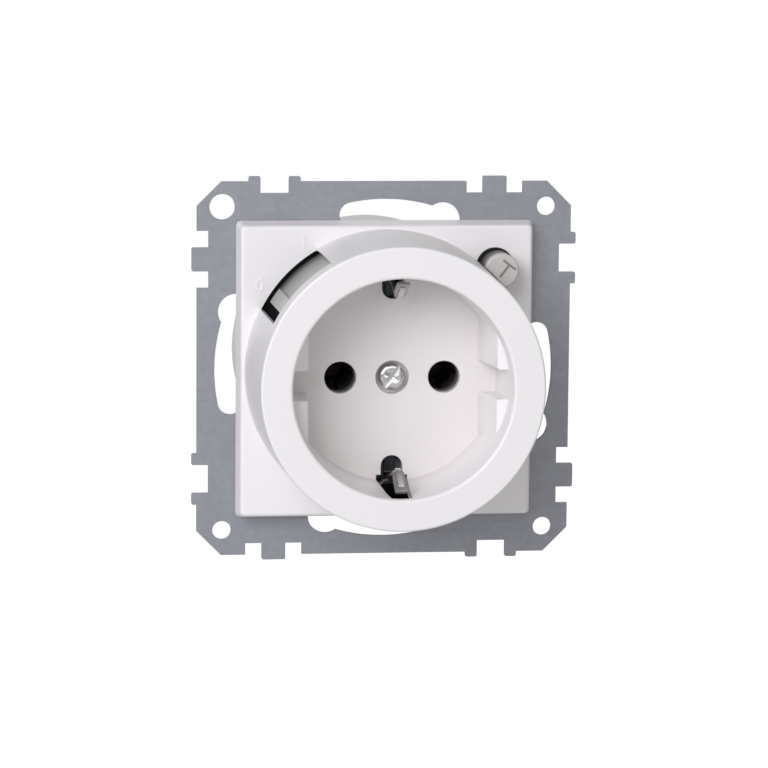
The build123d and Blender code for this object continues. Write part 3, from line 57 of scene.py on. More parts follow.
BUTTON_ANGLE = 42.5
STEM_R = 21.9
SIGN_SIZE = 3.2
SIGN_HEIGHT = 0.12
WHITE = (1.0, 1.0, 1.0, 1.0)
MODES = {"Math": "operation", "VectorMath": "operation", "Mix": "data_type",
         "Group": "node_tree"}


class Cut(Enum):
    """What a second solid does to the first."""

    ADD = "UNION"
    TAKE = "DIFFERENCE"
    KEEP = "INTERSECT"


class Pick(Enum):
    """What a test picks on a mesh."""

    CORNERS = "VERT"
    EDGES = "EDGE"


class Body(Enum):
    """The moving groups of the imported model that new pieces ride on."""

    INSERT = "insert"
    LEVER = "reset_lever"
    BUTTON = "test_button"


# Bench tools


def hold(piece: Solid) -> None:
    """Leaves only one piece selected and active.

    Args:
        piece: the piece.
    """
    bpy.ops.object.select_all(action="DESELECT")
    piece.select_set(True)
    bpy.context.view_layer.objects.active = piece


def scrap(piece: Solid) -> None:
    """Deletes a helper solid."""
    bpy.data.objects.remove(piece, do_unlink=True)


def mode(name: str) -> None:
    """Goes to edit or object mode."""
    bpy.ops.object.mode_set(mode=name)


def settle(piece: Solid, turn: float = 0.0) -> Solid:
    """Turns a piece and writes its place, turn and scale into its mesh.

    Args:
        piece: the piece.
        turn: turn about the socket's axis in degrees.

    Returns:
        The piece.
    """
    hold(piece)
    piece.rotation_euler.z += math.radians(turn)
    bpy.ops.object.transform_apply(location=True, rotation=True, scale=True)
    return piece


def modify(piece: Solid, kind: str, **settings: object) -> None:
    """Adds a modifier to a piece and applies it.

    Args:
        piece: the solid.
        kind: the modifier's type.
        settings: its values, by name.
    """
    hold(piece)
    step = piece.modifiers.new(kind, kind)
    for key, value in settings.items():
        setattr(step, key, value)
    bpy.ops.object.modifier_apply(modifier=step.name)


def face_out() -> None:
    """Points the faces of the piece in edit mode outwards and leaves edit mode."""
    bpy.ops.mesh.select_all(action="SELECT")
    bpy.ops.mesh.normals_make_consistent(inside=False)
    mode("OBJECT")


def polar(radius: float, angle: float) -> Point2:
    """Place at a radius and an angle in degrees."""
    return radius * math.cos(math.radians(angle)), radius * math.sin(math.radians(angle))


def box_solid(low: Point3, high: Point3) -> Solid:
    """Adds a box between two corners.

    Args:
        low: lowest corner in mm.
        high: highest corner in mm.

    Returns:
        The box, with its size and place in its mesh.
    """
    middle = [(a + b) / 2 * MM for a, b in zip(low, high)]
    bpy.ops.mesh.primitive_cube_add(size=1.0, location=middle)
    piece = bpy.context.object
    piece.scale = [(b - a) * MM for a, b in zip(low, high)]
    return settle(piece)


def rod_solid(radius: float, low: float, high: float, at: Point2 = (0.0, 0.0),
              steps: int = 64, top_radius: Optional[float] = None) -> Solid:
    """Adds an upright round bar or cone frustum.

    Args:
        radius: radius at the foot in mm.
        low: height of the foot.
        high: height of the top.
        at: place of the axis.
        steps: facets round the bar.
        top_radius: radius at the top, the same as at the foot if not given.

    Returns:
        The bar, with its place in its mesh.
    """
    top = radius if top_radius is None else top_radius
    place = (at[0] * MM, at[1] * MM, (low + high) / 2 * MM)
    bpy.ops.mesh.primitive_cone_add(vertices=steps, radius1=radius * MM, radius2=top * MM,
                                    depth=(high - low) * MM, location=place)
    return settle(bpy.context.object)


def section(inner: float, outer: float, low: float, high: float) -> list[Point2]:
    """Square section of a ring, as radius and height."""
    return [(inner, low), (outer, low), (outer, high), (inner, high)]


def start_wire(points: Sequence[Point3]) -> Solid:
    """Draws an open wire through points, one extruded vertex after another.

    Args:
        points: the wire's points in mm.

    Returns:
        The wire, left in edit mode with all selected.
    """
    bpy.ops.object.select_all(action="DESELECT")
    bpy.ops.mesh.primitive_plane_add(size=MM)
    piece = bpy.context.object
    mode("EDIT")
    bpy.ops.mesh.select_mode(type="VERT")
    bpy.ops.mesh.select_all(action="SELECT")
    bpy.ops.mesh.merge(type="CENTER")
    bpy.ops.transform.translate(value=[c * MM for c in points[0]])
    for here, there in zip(points, points[1:]):
        step = [(b - a) * MM for a, b in zip(here, there)]
        bpy.ops.mesh.extrude_region_move(TRANSFORM_OT_translate={"value": step})
    bpy.ops.mesh.select_all(action="SELECT")
    return piece


def extruded(points: Sequence[Point3], by: Point3, filled: bool = True) -> Solid:
    """Extrudes a wire, or the face that it bounds.

    Args:
        points: the wire's points in mm.
        by: how far it is extruded, in mm.
        filled: whether the wire bounds a face.

    Returns:
        The sheet or the closed solid.
    """
    piece = start_wire(points)
    if filled:
        bpy.ops.mesh.edge_face_add()
    step = [c * MM for c in by]
    bpy.ops.mesh.extrude_region_move(TRANSFORM_OT_translate={"value": step})
    face_out()
    return piece


def turned_solid(profile: Sequence[Point2], steps: int, start: float = 0.0,
                 end: float = 360.0, closed: bool = False) -> Solid:
    """Turns a profile of radius and height round the socket's axis.

    Args:
        profile: radius and height of each point in mm.
        steps: facets over the turn.
        start: angle that the turn starts at, in degrees.
        end: angle that it ends at.
        closed: joins the profile's last point to its first for a whole ring.

    Returns:
        The closed solid.
    """
    points = [(r, 0.0, z) for r, z in profile]
    whole = abs(end - start - 360.0) < 1e-6
    if whole and closed:
        points.append(points[0])
    piece = start_wire(points)
    if not whole:
        bpy.ops.mesh.edge_face_add()
    bpy.ops.mesh.spin(steps=steps, angle=-math.radians(end - start), center=(0, 0, 0),
                      axis=(0, 0, 1))
    bpy.ops.mesh.select_all(action="SELECT")
    bpy.ops.mesh.remove_doubles(threshold=1e-6)
    face_out()
    return settle(piece, start)


def bent_sheet(points: Sequence[Point3], by: Point3, thick: float, even: bool) -> Solid:
    """Extrudes a wire into a sheet and thickens it, half to each side.

    Args:
        points: the wire's points in mm.
        by: how far it is extruded, in mm.
        thick: the sheet's thickness in mm.
        even: keeps the thickness in the bends.

    Returns:
        The closed solid.
    """
    piece = extruded(points, by, False)
    modify(piece, "SOLIDIFY", thickness=thick * MM, offset=0.0, use_even_offset=even)
    return piece


def work(piece: Solid, tool: Solid, cut: Cut) -> None:
    """Adds, takes or keeps a second solid, and scraps it.

    Args:
        piece: the solid that is worked on.
        tool: the second solid.
        cut: what it does.
    """
    modify(piece, "BOOLEAN", operation=cut.value, solver="EXACT", object=tool)
    scrap(tool)


def soften(piece: Solid, width: float, segments: int, angle: float) -> None:
    """Rounds every edge that is sharper than an angle.

    Args:
        piece: the solid.
        width: width of the rounding in mm.
        segments: facets across it.
        angle: least angle between the faces, in degrees.
    """
    modify(piece, "BEVEL", width=width * MM, segments=segments, limit_method="ANGLE",
           angle_limit=math.radians(angle))


def pick(piece: Solid, what: Pick, wanted: Callable[..., bool]) -> None:
    """Opens a piece in edit mode with what a test picks selected.

    Args:
        piece: the solid.
        what: corners or edges.
        wanted: takes the place of a corner, or of an edge's two ends, in mm.
    """
    hold(piece)
    mode("EDIT")
    bpy.ops.mesh.select_mode(type=what.value)
    bpy.ops.mesh.select_all(action="DESELECT")
    mode("OBJECT")
    corners, edges = piece.data.vertices, piece.data.edges
    if what is Pick.CORNERS:
        for corner in corners:
            corner.select = wanted(corner.co / MM)
    else:
        for edge in edges:
            edge.select = wanted(*(corners[i].co / MM for i in edge.vertices))
        LOG.info("picked %d edges", sum(edge.select for edge in edges))
    mode("EDIT")


def round_edges(piece: Solid, width: float, segments: int,
                wanted: Callable[[Vector, Vector], bool]) -> None:
    """Bevels the edges that a test picks.

    Args:
        piece: the solid.
        width: width of the rounding in mm.
        segments: facets across it.
        wanted: takes an edge's ends in mm and says whether it is rounded.
    """
    pick(piece, Pick.EDGES, wanted)
    bpy.ops.mesh.bevel(offset=width * MM, segments=segments, affect="EDGES")
    mode("OBJECT")


def bent_line(points: Sequence[Point2], radii: Sequence[float], steps: int) -> list[Point2]:
    """Rounds the inner corners of a flat line.

    Args:
        points: the line's ends and corners.
        radii: bend radius at each inner corner.
        steps: pieces in each bend.

    Returns:
        The points of the bent line.
    """
    line = [points[0]]
    for before, corner, after, radius in zip(points, points[1:], points[2:], radii):
        here = Vector(corner)
        back = (Vector(before) - here).normalized()
        ahead = (Vector(after) - here).normalized()
        half = back.angle(ahead) / 2
        middle = here + (back + ahead).normalized() * (radius / math.sin(half))
        first = here + back * (radius / math.tan(half)) - middle
        last = here + ahead * (radius / math.tan(half)) - middle
        for i in range(steps + 1):
            line.append(tuple(middle + first.slerp(last, i / steps)))
    return line + [points[-1]]


def copied(piece: Solid, turn: float = 0.0, mirror: Optional[Point2] = None) -> Solid:
    """Copies a piece, with its own mesh, turned or mirrored.

    Args:
        piece: what is copied.
        turn: turn about the socket's axis in degrees.
        mirror: -1 mirrors the copy left to right, or top to bottom.

    Returns:
        The copy.
    """
    hold(piece)
    bpy.ops.object.duplicate()
    twin = bpy.context.object
    if mirror:
        twin.scale = (*mirror, 1.0)
    settle(twin, turn)
    if mirror:
        mode("EDIT")
        face_out()
    return twin


def complete(piece: Solid, name: str, finish: "Finish", smooth: float,
             stands_for: Sequence[str] = (), body: Body = Body.INSERT) -> Solid:
    """Stands a piece up, shades it and ties it to the frame.

    Args:
        piece: the solid on the bench.
        name: its name.
        finish: what it is finished in.
        smooth: faces meeting at less than this angle shade as one surface.
        stands_for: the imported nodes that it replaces.
        body: the group that it rides on.

    Returns:
        The piece.
    """
    piece.rotation_euler.x = math.radians(90)
    settle(piece)
    piece.name = name
    piece.data.name = name
    bpy.ops.object.shade_smooth_by_angle(angle=math.radians(smooth))
    modify(piece, "WEIGHTED_NORMAL", keep_sharp=True)
    piece.data.materials.clear()
    piece.data.materials.append(finish.material())
    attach(piece, body.value)
    if stands_for:
        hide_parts(*stands_for)
    LOG.info("%s: %d faces, rides on %s", name, len(piece.data.polygons), body.value)
    return piece


# Finishes


def add_nodes(tree: Tree, nodes: Nodes, wires: str,
              known: dict[str, bpy.types.Node]) -> None:
    """Adds nodes to a tree and wires them.

    Args:
        tree: the tree of a material, world or group.
        nodes: type, mode and input values of each new node, by a name for the wires.
        wires: the links, as "node.output > node.input", with commas between.
        known: nodes that are in the tree, by name; the new ones join them.
    """
    for name, (kind, mode, values) in nodes.items():
        node = known[name] = tree.nodes.new("ShaderNode" + kind)
        if mode:
            setattr(node, MODES[kind], mode)
        for key, value in values.items():
            node.inputs[key].default_value = value
    for wire in wires.split(", "):
        (source, outlet), (target, inlet) = (end.split(".") for end in wire.split(" > "))
        outlet, inlet = (int(end) if end.isdigit() else end for end in (outlet, inlet))
        tree.links.new(known[source].outputs[outlet], known[target].inputs[inlet])


def make_group(label: str, inlets: dict[str, str], outlets: dict[str, str], nodes: Nodes,
               wires: str) -> Tree:
    """Makes a node group once.

    Args:
        label: the group's name.
        inlets: kind of each input, by name.
        outlets: kind of each output, by name.
        nodes: its nodes, as for add_nodes.
        wires: its links; the group's own ends are named in and out.

    Returns:
        The group.
    """
    if label in bpy.data.node_groups:
        return bpy.data.node_groups[label]
    group = bpy.data.node_groups.new(label, "ShaderNodeTree")
    for way, sockets in (("INPUT", inlets), ("OUTPUT", outlets)):
        for name, kind in sockets.items():
            group.interface.new_socket(name, in_out=way, socket_type="NodeSocket" + kind)
    ends = {"in": group.nodes.new("NodeGroupInput"), "out": group.nodes.new("NodeGroupOutput")}
    add_nodes(group, nodes, wires, ends)
    return group


def surface_group(label: str, nodes: Nodes, wires: str) -> Tree:
    """Makes a group that gives a surface its colour, gloss and grain.

    Args:
        label: the group's name.
        nodes: its noises; tone, gloss and bump are there for all.
        wires: links of its noises.

    Returns:
        The group.
    """
    inlets = {"Vector": "Vector", "Tone": "Color", "Deep": "Color", "Low gloss": "Float",
              "High gloss": "Float", "Grain": "Float", "Depth": "Float"}
    outlets = {"Colour": "Color", "Roughness": "Float", "Normal": "Vector"}
    shared = {"tone": ("Mix", "RGBA", {}), "gloss": ("MapRange", None, {}),
              "bump": ("Bump", None, {"Distance": 0.00002})}
    ends = (", in.Tone > tone.A, in.Deep > tone.B, in.Low gloss > gloss.To Min, "
            "in.High gloss > gloss.To Max, in.Depth > bump.Strength, tone.Result > out.Colour, "
            "gloss.Result > out.Roughness, bump.Normal > out.Normal")
    return make_group(label, inlets, outlets, {**shared, **nodes}, wires + ends)


def grain_group() -> Tree:
    """Node group for a moulded surface: faint mottling, gloss changes and fine grain.

    Returns:
        The group, made once.
    """
    nodes = {"cloud": ("TexNoise", None, {"Scale": 55.0, "Detail": 3.0}),
             "fine": ("TexNoise", None, {"Detail": 2.0})}
    return surface_group("moulded_grain", nodes, (
        "in.Vector > cloud.Vector, in.Vector > fine.Vector, in.Grain > fine.Scale, "
        "cloud.Fac > tone.Factor, cloud.Fac > gloss.Value, fine.Fac > bump.Height"))


def sheet_group() -> Tree:
    """Node group for rolled metal: stretched lines, soft clouds and spangle.

    Returns:
        The group, made once.
    """
    nodes = {"stretch": ("Mapping", None, {"Scale": (60.0, 900.0, 900.0)}),
             "lines": ("TexNoise", None, {"Scale": 1.0, "Detail": 4.0}),
             "flakes": ("TexVoronoi", None, {}),
             "cloud": ("TexNoise", None, {"Scale": 90.0, "Detail": 4.0}),
             "blend": ("Mix", "FLOAT", {"Factor": 0.5}),
             "spangle": ("Mix", "FLOAT", {"Factor": 0.3})}
    return surface_group("rolled_metal", nodes, (
        "in.Vector > stretch.Vector, stretch.Vector > lines.Vector, in.Vector > flakes.Vector, "
        "in.Vector > cloud.Vector, in.Grain > flakes.Scale, lines.Fac > blend.A, "
        "cloud.Fac > blend.B, blend.Result > spangle.A, flakes.Color > spangle.B, "
        "spangle.Result > tone.Factor, spangle.Result > gloss.Value, lines.Fac > bump.Height"))


class Reach(Enum):
    """What a finish's painted shade is measured along."""

    OUT = "out of the wall"
    ACROSS = "from the middle of the frame, on its front only"
    RECESS = "from the recess's floor, inside the collar only"


@dataclass(frozen=True)
class Shade:
    """Painted shade on a finish, in a darker colour: full up to one distance, gone at another, in
    metres.
    """

    reach: Reach
    full: float
    gone: float
    colour: Point3


# FRONT_FROM keeps the frame's painted shade on the sheet's front face.
FRONT_FROM = 0.0009
RING_SLOPE = 3.92
RING_START = -0.0677
# The ring takes over from the depth between radius 20.8 and 22 mm, past the recess's wall, so that
# the recess's painted shade stays on its floor and the foot of its wall.
SHADE_PARTS = {
    Reach.OUT: ({}, "depth.0 > share.Value"),
    Reach.ACROSS: (
        {"wide": ("Math", "ABSOLUTE", {}), "tall": ("Math", "ABSOLUTE", {}),
         "most": ("Math", "MAXIMUM", {}), "rear": ("Math", "LESS_THAN", {1: FRONT_FROM}),
         "far": ("Math", "ADD", {})},
        "parts.X > wide.0, parts.Z > tall.0, wide.0 > most.0, tall.0 > most.1, "
        "depth.0 > rear.0, most.0 > far.0, rear.0 > far.1, far.0 > share.Value"),
    Reach.RECESS: (
        {"flat": ("CombineXYZ", None, {}), "radius": ("VectorMath", "LENGTH", {}),
         "ring": ("Math", "MULTIPLY_ADD", {1: RING_SLOPE, 2: RING_START}),
         "far": ("Math", "MAXIMUM", {})},
        "parts.X > flat.X, parts.Z > flat.Y, flat.0 > radius.0, radius.Value > ring.0, "
        "ring.0 > far.0, depth.0 > far.1, far.0 > share.Value"),
}


def shade_group(reach: Reach) -> Tree:
    """Node group that gives the share of a finish's painted shade at a place.

    Args:
        reach: what the distance is measured along.

    Returns:
        The group, made once.
    """
    nodes, wires = SHADE_PARTS[reach]
    shared = {"parts": ("SeparateXYZ", None, {}), "depth": ("Math", "MULTIPLY", {1: -1.0}),
              "share": ("MapRange", None, {"To Min": 1.0, "To Max": 0.0})}
    ends = (", in.Vector > parts.0, parts.Y > depth.0, in.Full > share.From Min, "
            "in.Gone > share.From Max, share.Result > out.Share")
    inlets = {"Vector": "Vector", "Full": "Float", "Gone": "Float"}
    return make_group("shade_" + reach.name.lower(), inlets, {"Share": "Float"},
                      {**shared, **nodes}, wires + ends)


def new_paint(label: str) -> tuple[bpy.types.Material, bpy.types.ShaderNode]:
    """Makes a material.

    Args:
        label: its name.

    Returns:
        The material and its shader.
    """
    made = bpy.data.materials.new(label)
    made.use_nodes = True
    return made, made.node_tree.nodes["Principled BSDF"]


@dataclass(frozen=True)
class Finish:
    """A surface finish, as the colours and gloss that its grain swings between, with painted shade
    where it has one.

    Colours are linear red, green and blue.
    """

    slot: str
    tone: Point3
    deep: Point3
    gloss: Point2
    metallic: float = 0.0
    grain: float = 2500.0
    depth: float = 0.25
    rolled: bool = False
    variant: str = ""
    shade: Optional[Shade] = None

    def material(self) -> bpy.types.Material:
        """Makes the finish's material once.

        Returns:
            The material, named for its slot and variant.
        """
        label = "finish_" + self.slot + self.variant
        if label in bpy.data.materials:
            return bpy.data.materials[label]
        made, shader = new_paint(label)
        shader.inputs["Metallic"].default_value = self.metallic
        group = sheet_group() if self.rolled else grain_group()
        nodes = {"where": ("TexCoord", None, {}),
                 "surface": ("Group", group, {
                     "Tone": (*self.tone, 1.0), "Deep": (*self.deep, 1.0),
                     "Low gloss": self.gloss[0], "High gloss": self.gloss[1],
                     "Grain": self.grain, "Depth": self.depth})}
        wires = ("where.Object > surface.Vector, surface.Roughness > shader.Roughness, "
                 "surface.Normal > shader.Normal, ")
        colour = "surface.Colour"
        # Mixes the finish's painted shade into its colour.
        if self.shade:
            nodes["share"] = ("Group", shade_group(self.shade.reach),
                              {"Full": self.shade.full, "Gone": self.shade.gone})
            nodes["blend"] = ("Mix", "RGBA", {"B": (*self.shade.colour, 1.0)})
            wires += ("where.Object > share.Vector, share.Share > blend.Factor, "
                      "surface.Colour > blend.A, ")
            colour = "blend.Result"
        wires += colour + " > shader.Base Color"
        add_nodes(made.node_tree, nodes, wires, {"shader": shader})
        return made


# Painted shade: the recess's floor and the foot of its wall are coloured greyer and warmer, for the
# shade that the deep recess holds.
WHITE_PLASTIC = Finish("white_plastic", (0.885, 0.86, 0.87), (0.86, 0.835, 0.845), (0.3, 0.42),
                       shade=Shade(Reach.RECESS, 0.0138, 0.0185, (0.765, 0.73, 0.72)))
# Painted shade: the lever's shield darkens towards its foot, for the shade deep in the collar's
# window.
GREY_PLASTIC = Finish("grey_plastic", (0.6, 0.59, 0.58), (0.55, 0.54, 0.53), (0.35, 0.45),
                      shade=Shade(Reach.OUT, 0.006, 0.023, (0.17, 0.165, 0.16)))
# Painted shade: the cap's side is near black towards its foot, so that the gap round the cap reads
# dark.
BUTTON_PLASTIC = Finish("button_plastic", (0.62, 0.59, 0.57), (0.55, 0.52, 0.5), (0.35, 0.45),
                        shade=Shade(Reach.OUT, 0.0095, 0.0118, (0.03, 0.029, 0.028)))
BUTTON_MARK = Finish("button_plastic", (0.25, 0.23, 0.22), (0.22, 0.2, 0.19), (0.5, 0.6),
                     variant="_mark")
# Painted shade: the frame's front is near black under the cover, where the cover shades it, and
# shows so through the window.
GALVANISED = Finish("galvanised_steel", (0.32, 0.33, 0.36), (0.22, 0.23, 0.255), (0.38, 0.54),
                    0.35, 900.0, 0.3, True,
                    shade=Shade(Reach.ACROSS, 0.0262, 0.0266, (0.015, 0.015, 0.017)))
NICKEL = Finish("nickel_plated", (1.0, 0.99, 0.98), (0.2, 0.195, 0.2), (0.08, 0.2),
                1.0, 700.0, 0.5, True)
# Painted shade: near-black copy of the nickel, for the strap that lies in shade under the recess's
# floor.
SHADED_NICKEL = Finish("nickel_plated", (0.03, 0.03, 0.03), (0.015, 0.015, 0.015), (0.5, 0.6), 0.2,
                     700.0, 0.2, True, variant="_painted_shade")
# The clip's nickel is a darker copy of the bright nickel, so that the bead stands out as a painted
# highlight; it darkens further towards its foot as painted shade, deep in the earth slots.
CLIP_NICKEL = Finish("nickel_plated", (0.5, 0.48, 0.48), (0.22, 0.21, 0.215), (0.16, 0.3),
                     1.0, 700.0, 0.3, True, variant="_clip",
                     shade=Shade(Reach.OUT, 0.0128, 0.0165, (0.035, 0.035, 0.04)))
HOUSING_PLASTIC = Finish("housing_plastic", (0.86, 0.86, 0.87), (0.82, 0.82, 0.83), (0.4, 0.55))
INSULATING = Finish("insulating_plastic", (0.12, 0.12, 0.13), (0.09, 0.09, 0.1), (0.4, 0.55))
SPRING_STEEL = Finish("spring_steel", (0.55, 0.55, 0.55), (0.42, 0.42, 0.43), (0.25, 0.4),
                      1.0, 900.0, 0.2, True)
ZINC_STEEL = Finish("zinc_steel", (0.62, 0.63, 0.66), (0.5, 0.51, 0.54), (0.25, 0.4),
                    1.0, 900.0, 0.2, True)
BRASS = Finish("brass", (0.72, 0.52, 0.24), (0.6, 0.42, 0.18), (0.22, 0.36), 1.0, 800.0, 0.2, True)
# Painted shade: near-black copy of the brass, for the contact sleeves in shade deep under the pin
# holes.
SHADED_BRASS = Finish("brass", (0.05, 0.04, 0.03), (0.025, 0.02, 0.015), (0.5, 0.65), 0.3, 800.0,
                    0.2, True, variant="_painted_shade")
COPPER = Finish("copper_alloy", (0.7, 0.4, 0.26), (0.58, 0.32, 0.2), (0.25, 0.4), 1.0, 800.0,
                0.2, True)
SILVER = Finish("silver_contact", (0.85, 0.84, 0.82), (0.75, 0.74, 0.72), (0.2, 0.35), 1.0,
                800.0, 0.2, True)
BOARD = Finish("board", (0.05, 0.2, 0.08), (0.03, 0.14, 0.055), (0.3, 0.42))
FERRITE = Finish("ferrite", (0.05, 0.05, 0.055), (0.03, 0.03, 0.033), (0.5, 0.65))
WINDING = Finish("copper_winding", (0.6, 0.22, 0.09), (0.45, 0.15, 0.06), (0.25, 0.38), 0.7,
                 1500.0, 0.4, True)
BLUE_COATING = Finish("blue_coating", (0.05, 0.12, 0.4), (0.03, 0.08, 0.3), (0.25, 0.35))
BEIGE_COATING = Finish("beige_coating", (0.55, 0.42, 0.26), (0.48, 0.36, 0.21), (0.35, 0.45))
YELLOW_CASE = Finish("yellow_case", (0.75, 0.5, 0.06), (0.66, 0.43, 0.04), (0.3, 0.4))
FINISHES = (WHITE_PLASTIC, GREY_PLASTIC, BUTTON_PLASTIC, GALVANISED, NICKEL, HOUSING_PLASTIC,
            INSULATING, SPRING_STEEL, ZINC_STEEL, BRASS, COPPER, SILVER, BOARD, FERRITE, WINDING,
            BLUE_COATING, BEIGE_COATING, YELLOW_CASE)


# Sub-assemblies


@dataclass
class Cover:
    """Centre plate with the tall round collar and the plug recess, one moulding."""

    plate_foot: float = 27.5
    plate_half: float = 26.8
    plate_low: float = 1.2
    plate_top: float = 5.0
    plate_under: float = 3.5
    skirt: float = 1.7
    corner_r: float = 0.9
    edge_r: float = 0.6
    foot_r: float = 26.2
    rim_r: float = 25.5
    rim_z: float = 31.0
    wall: float = 1.8
    thin_wall: float = 1.0
    recess_r: float = 19.75
    floor_r: float = 19.0
    floor_z: float = 13.5
    floor_under: float = 11.5
    cup_r: float = 21.5
    block_top: float = 24.5
    block_gap: float = 2.7
    block_end: float = 13.8
    pin_x: float = 9.5
    opening_under: float = 10.5
    slot_r: float = 2.0
    slot_y: float = 16.3
    window_start: float = 119.4
    window_end: float = 153.5
    button_at: Point2 = (19.95, 19.29)
    button_r: float = 3.5
    steps: int = 192

    def collar_r(self, z: float, inset: float = 0.0) -> float:
        """Radius of the collar's outside at a height, less an inset."""
        share = (z - self.plate_top) / (self.rim_z - self.plate_top)
        return self.foot_r + (self.rim_r - self.foot_r) * share - inset

    def collar(self) -> Solid:
        """Turns the collar, the recess and its floor in one profile.

        Returns:
            The turned solid.
        """
        mouth_r, rim_edge = 0.6, 0.45
        profile = [(0.0, self.floor_z), (self.floor_r - 0.35, self.floor_z),
                   (self.floor_r - 0.1, self.floor_z + 0.1),
                   (self.floor_r + 0.03, self.floor_z + 0.4), (self.recess_r, self.block_top)]
        for i in range(7):
            x, z = polar(mouth_r, 180 - 15 * i)
            profile.append((self.recess_r + mouth_r + x, self.rim_z - mouth_r + z))
        for i in range(6):
            x, z = polar(rim_edge, 90 - 17.6 * i)
            profile.append((self.rim_r - rim_edge + x, self.rim_z - rim_edge + z))
        low = self.plate_under + 0.02
        high = self.rim_z - 2.0
        profile += [(self.foot_r, self.plate_top), (self.foot_r, low),
                    (self.collar_r(low, self.wall), low), (self.collar_r(high, self.wall), high),
                    (self.cup_r, high), (self.cup_r, self.floor_under), (4.6, self.floor_under),
                    (4.6, 10.0), (0.0, 10.0)]
        return turned_solid(profile, self.steps)

    def plate(self) -> Solid:
        """Makes the square plate with its skirt.

        Returns:
            The plate, hollow underneath and open to the collar.
        """
        foot, half, top = self.plate_foot, self.plate_half, self.plate_top
        plate = box_solid((-foot, -foot, self.plate_low), (foot, foot, top))
        pick(plate, Pick.CORNERS, lambda corner: corner.z > top - 0.01)
        bpy.ops.transform.resize(value=(half / foot, half / foot, 1.0))
        mode("OBJECT")
        round_edges(plate, self.corner_r, 6, lambda a, b: abs(a.z - b.z) > 1)
        round_edges(plate, self.edge_r, 4, lambda a, b: min(a.z, b.z) > top - 0.01)
        inner, under = half - self.skirt, self.plate_under
        work(plate, box_solid((-inner, -inner, 0.0), (inner, inner, under)), Cut.TAKE)
        work(plate, rod_solid(25.2, under - 1, top + 1, steps=self.steps), Cut.TAKE)
        return plate

    def guide_block(self, foot_x: float, top_x: float) -> Solid:
        """Makes one of the drafted blocks that guide the plug's flats.

        Args:
            foot_x: distance of its face from the middle at the floor.
            top_x: the same at its top.

        Returns:
            The block at the right, upper quarter of the recess.
        """
        gap, deep, top = self.block_gap, 20.6, self.block_top
        low = self.floor_z - 0.4
        block = box_solid((foot_x, gap, low), (deep, self.block_end, top))
        pick(block, Pick.CORNERS, lambda corner: corner.x < foot_x + 0.1 and corner.z > low + 1)
        bpy.ops.transform.translate(value=((top_x - foot_x) * MM, 0, 0))
        mode("OBJECT")
        round_edges(block, 0.6, 4, lambda a, b: min(a.x, b.x) < top_x + 0.01
                    and max(a.x, b.x) < top_x + 0.1
                    and ((abs(a.y - gap) < 0.01 and abs(b.y - gap) < 0.01)
                         or min(a.z, b.z) > top - 0.01))
        work(block, rod_solid(deep, low - 1, top + 1, steps=self.steps), Cut.KEEP)
        return block

    def openings(self, body: Solid) -> None:
        """Cuts the pin holes, the screw's well, the earth slots, the window and the button's hole.

        Args:
            body: the joined moulding.
        """
        over, under = self.floor_z + 1, self.opening_under
        bore = [(0.0, under), (2.9, under), (2.9, 13.28), (3.0, 13.45), (3.2, 13.56), (3.2, over),
                (0.0, over)]
        for x in (-self.pin_x, self.pin_x):
            tool = turned_solid(bore, 48)
            tool.location.x = x * MM
            work(body, settle(tool), Cut.TAKE)
        well = [(0.0, 9.0), (1.7, 9.0), (1.7, 11.3), (3.05, 11.3), (3.05, 13.4), (3.2, 13.55),
                (3.2, over), (0.0, over)]
        work(body, turned_solid(well, 48), Cut.TAKE)
        slot_r, slot_y = self.slot_r, self.slot_y
        slot = rod_solid(slot_r, under, over, (0.0, slot_y), 32)
        work(slot, box_solid((-slot_r, slot_y, under), (slot_r, 22.0, over)), Cut.ADD)
        groove = [(-3.0, 17.9, 11.2), (3.0, 17.9, 11.2), (1.9, 17.9, 29.3), (-1.9, 17.9, 29.3)]
        work(slot, extruded(groove, (0, 4.1, 0)), Cut.ADD)
        work(body, copied(slot, 180), Cut.TAKE)
        work(body, slot, Cut.TAKE)
        for radius, low, high in ((25.9, 1.0, 5.005), (26.4, 4.995, 26.5)):
            ring = section(22.5, radius, low, high)
            window = turned_solid(ring, 24, self.window_start, self.window_end)
            corner = Vector(polar(radius, self.window_start))
            round_edges(window, 1.2, 6, lambda a, b: (a.xy - corner).length < 0.05
                        and (b.xy - corner).length < 0.05)
            work(body, window, Cut.TAKE)
        hole = rod_solid(self.button_r, 2.5, 6.0, self.button_at, 72)
        work(hole, rod_solid(26.25, 2.0, 7.0, steps=self.steps * 2), Cut.TAKE)
        work(body, hole, Cut.TAKE)

    def build(self) -> Solid:
        """Builds the moulding and finishes it.

        Returns:
            The cover.
        """
        body = self.collar()
        work(body, self.plate(), Cut.ADD)
        low, high = self.plate_under - 0.1, 26.9
        relief = [(22.0, low), (self.collar_r(low, self.thin_wall), low),
                  (self.collar_r(high, self.thin_wall), high), (22.0, high)]
        work(body, turned_solid(relief, 48, 86.0, 155.5), Cut.TAKE)
        for angle in (0, 60, 180, 225, 300):
            rib = box_solid((21.3, -0.6, 22.0), (24.2, 0.6, 29.1))
            work(body, settle(rib, angle), Cut.ADD)
        for x, y in ((-1, 1), (-1, -1), (1, -1)):
            work(body, rod_solid(2.0, 1.0, 3.6, (x * 23.4, y * 23.4), 32), Cut.ADD)
        for x, foot_x, top_x in ((1, 15.7, 17.6), (-1, 15.4, 16.4)):
            block = self.guide_block(foot_x, top_x)
            for y in (1, -1):
                work(body, copied(block, mirror=(x, y)), Cut.ADD)
            scrap(block)
        self.openings(body)
        return complete(body, "cover_moulding", WHITE_PLASTIC, 30, ["cover"])


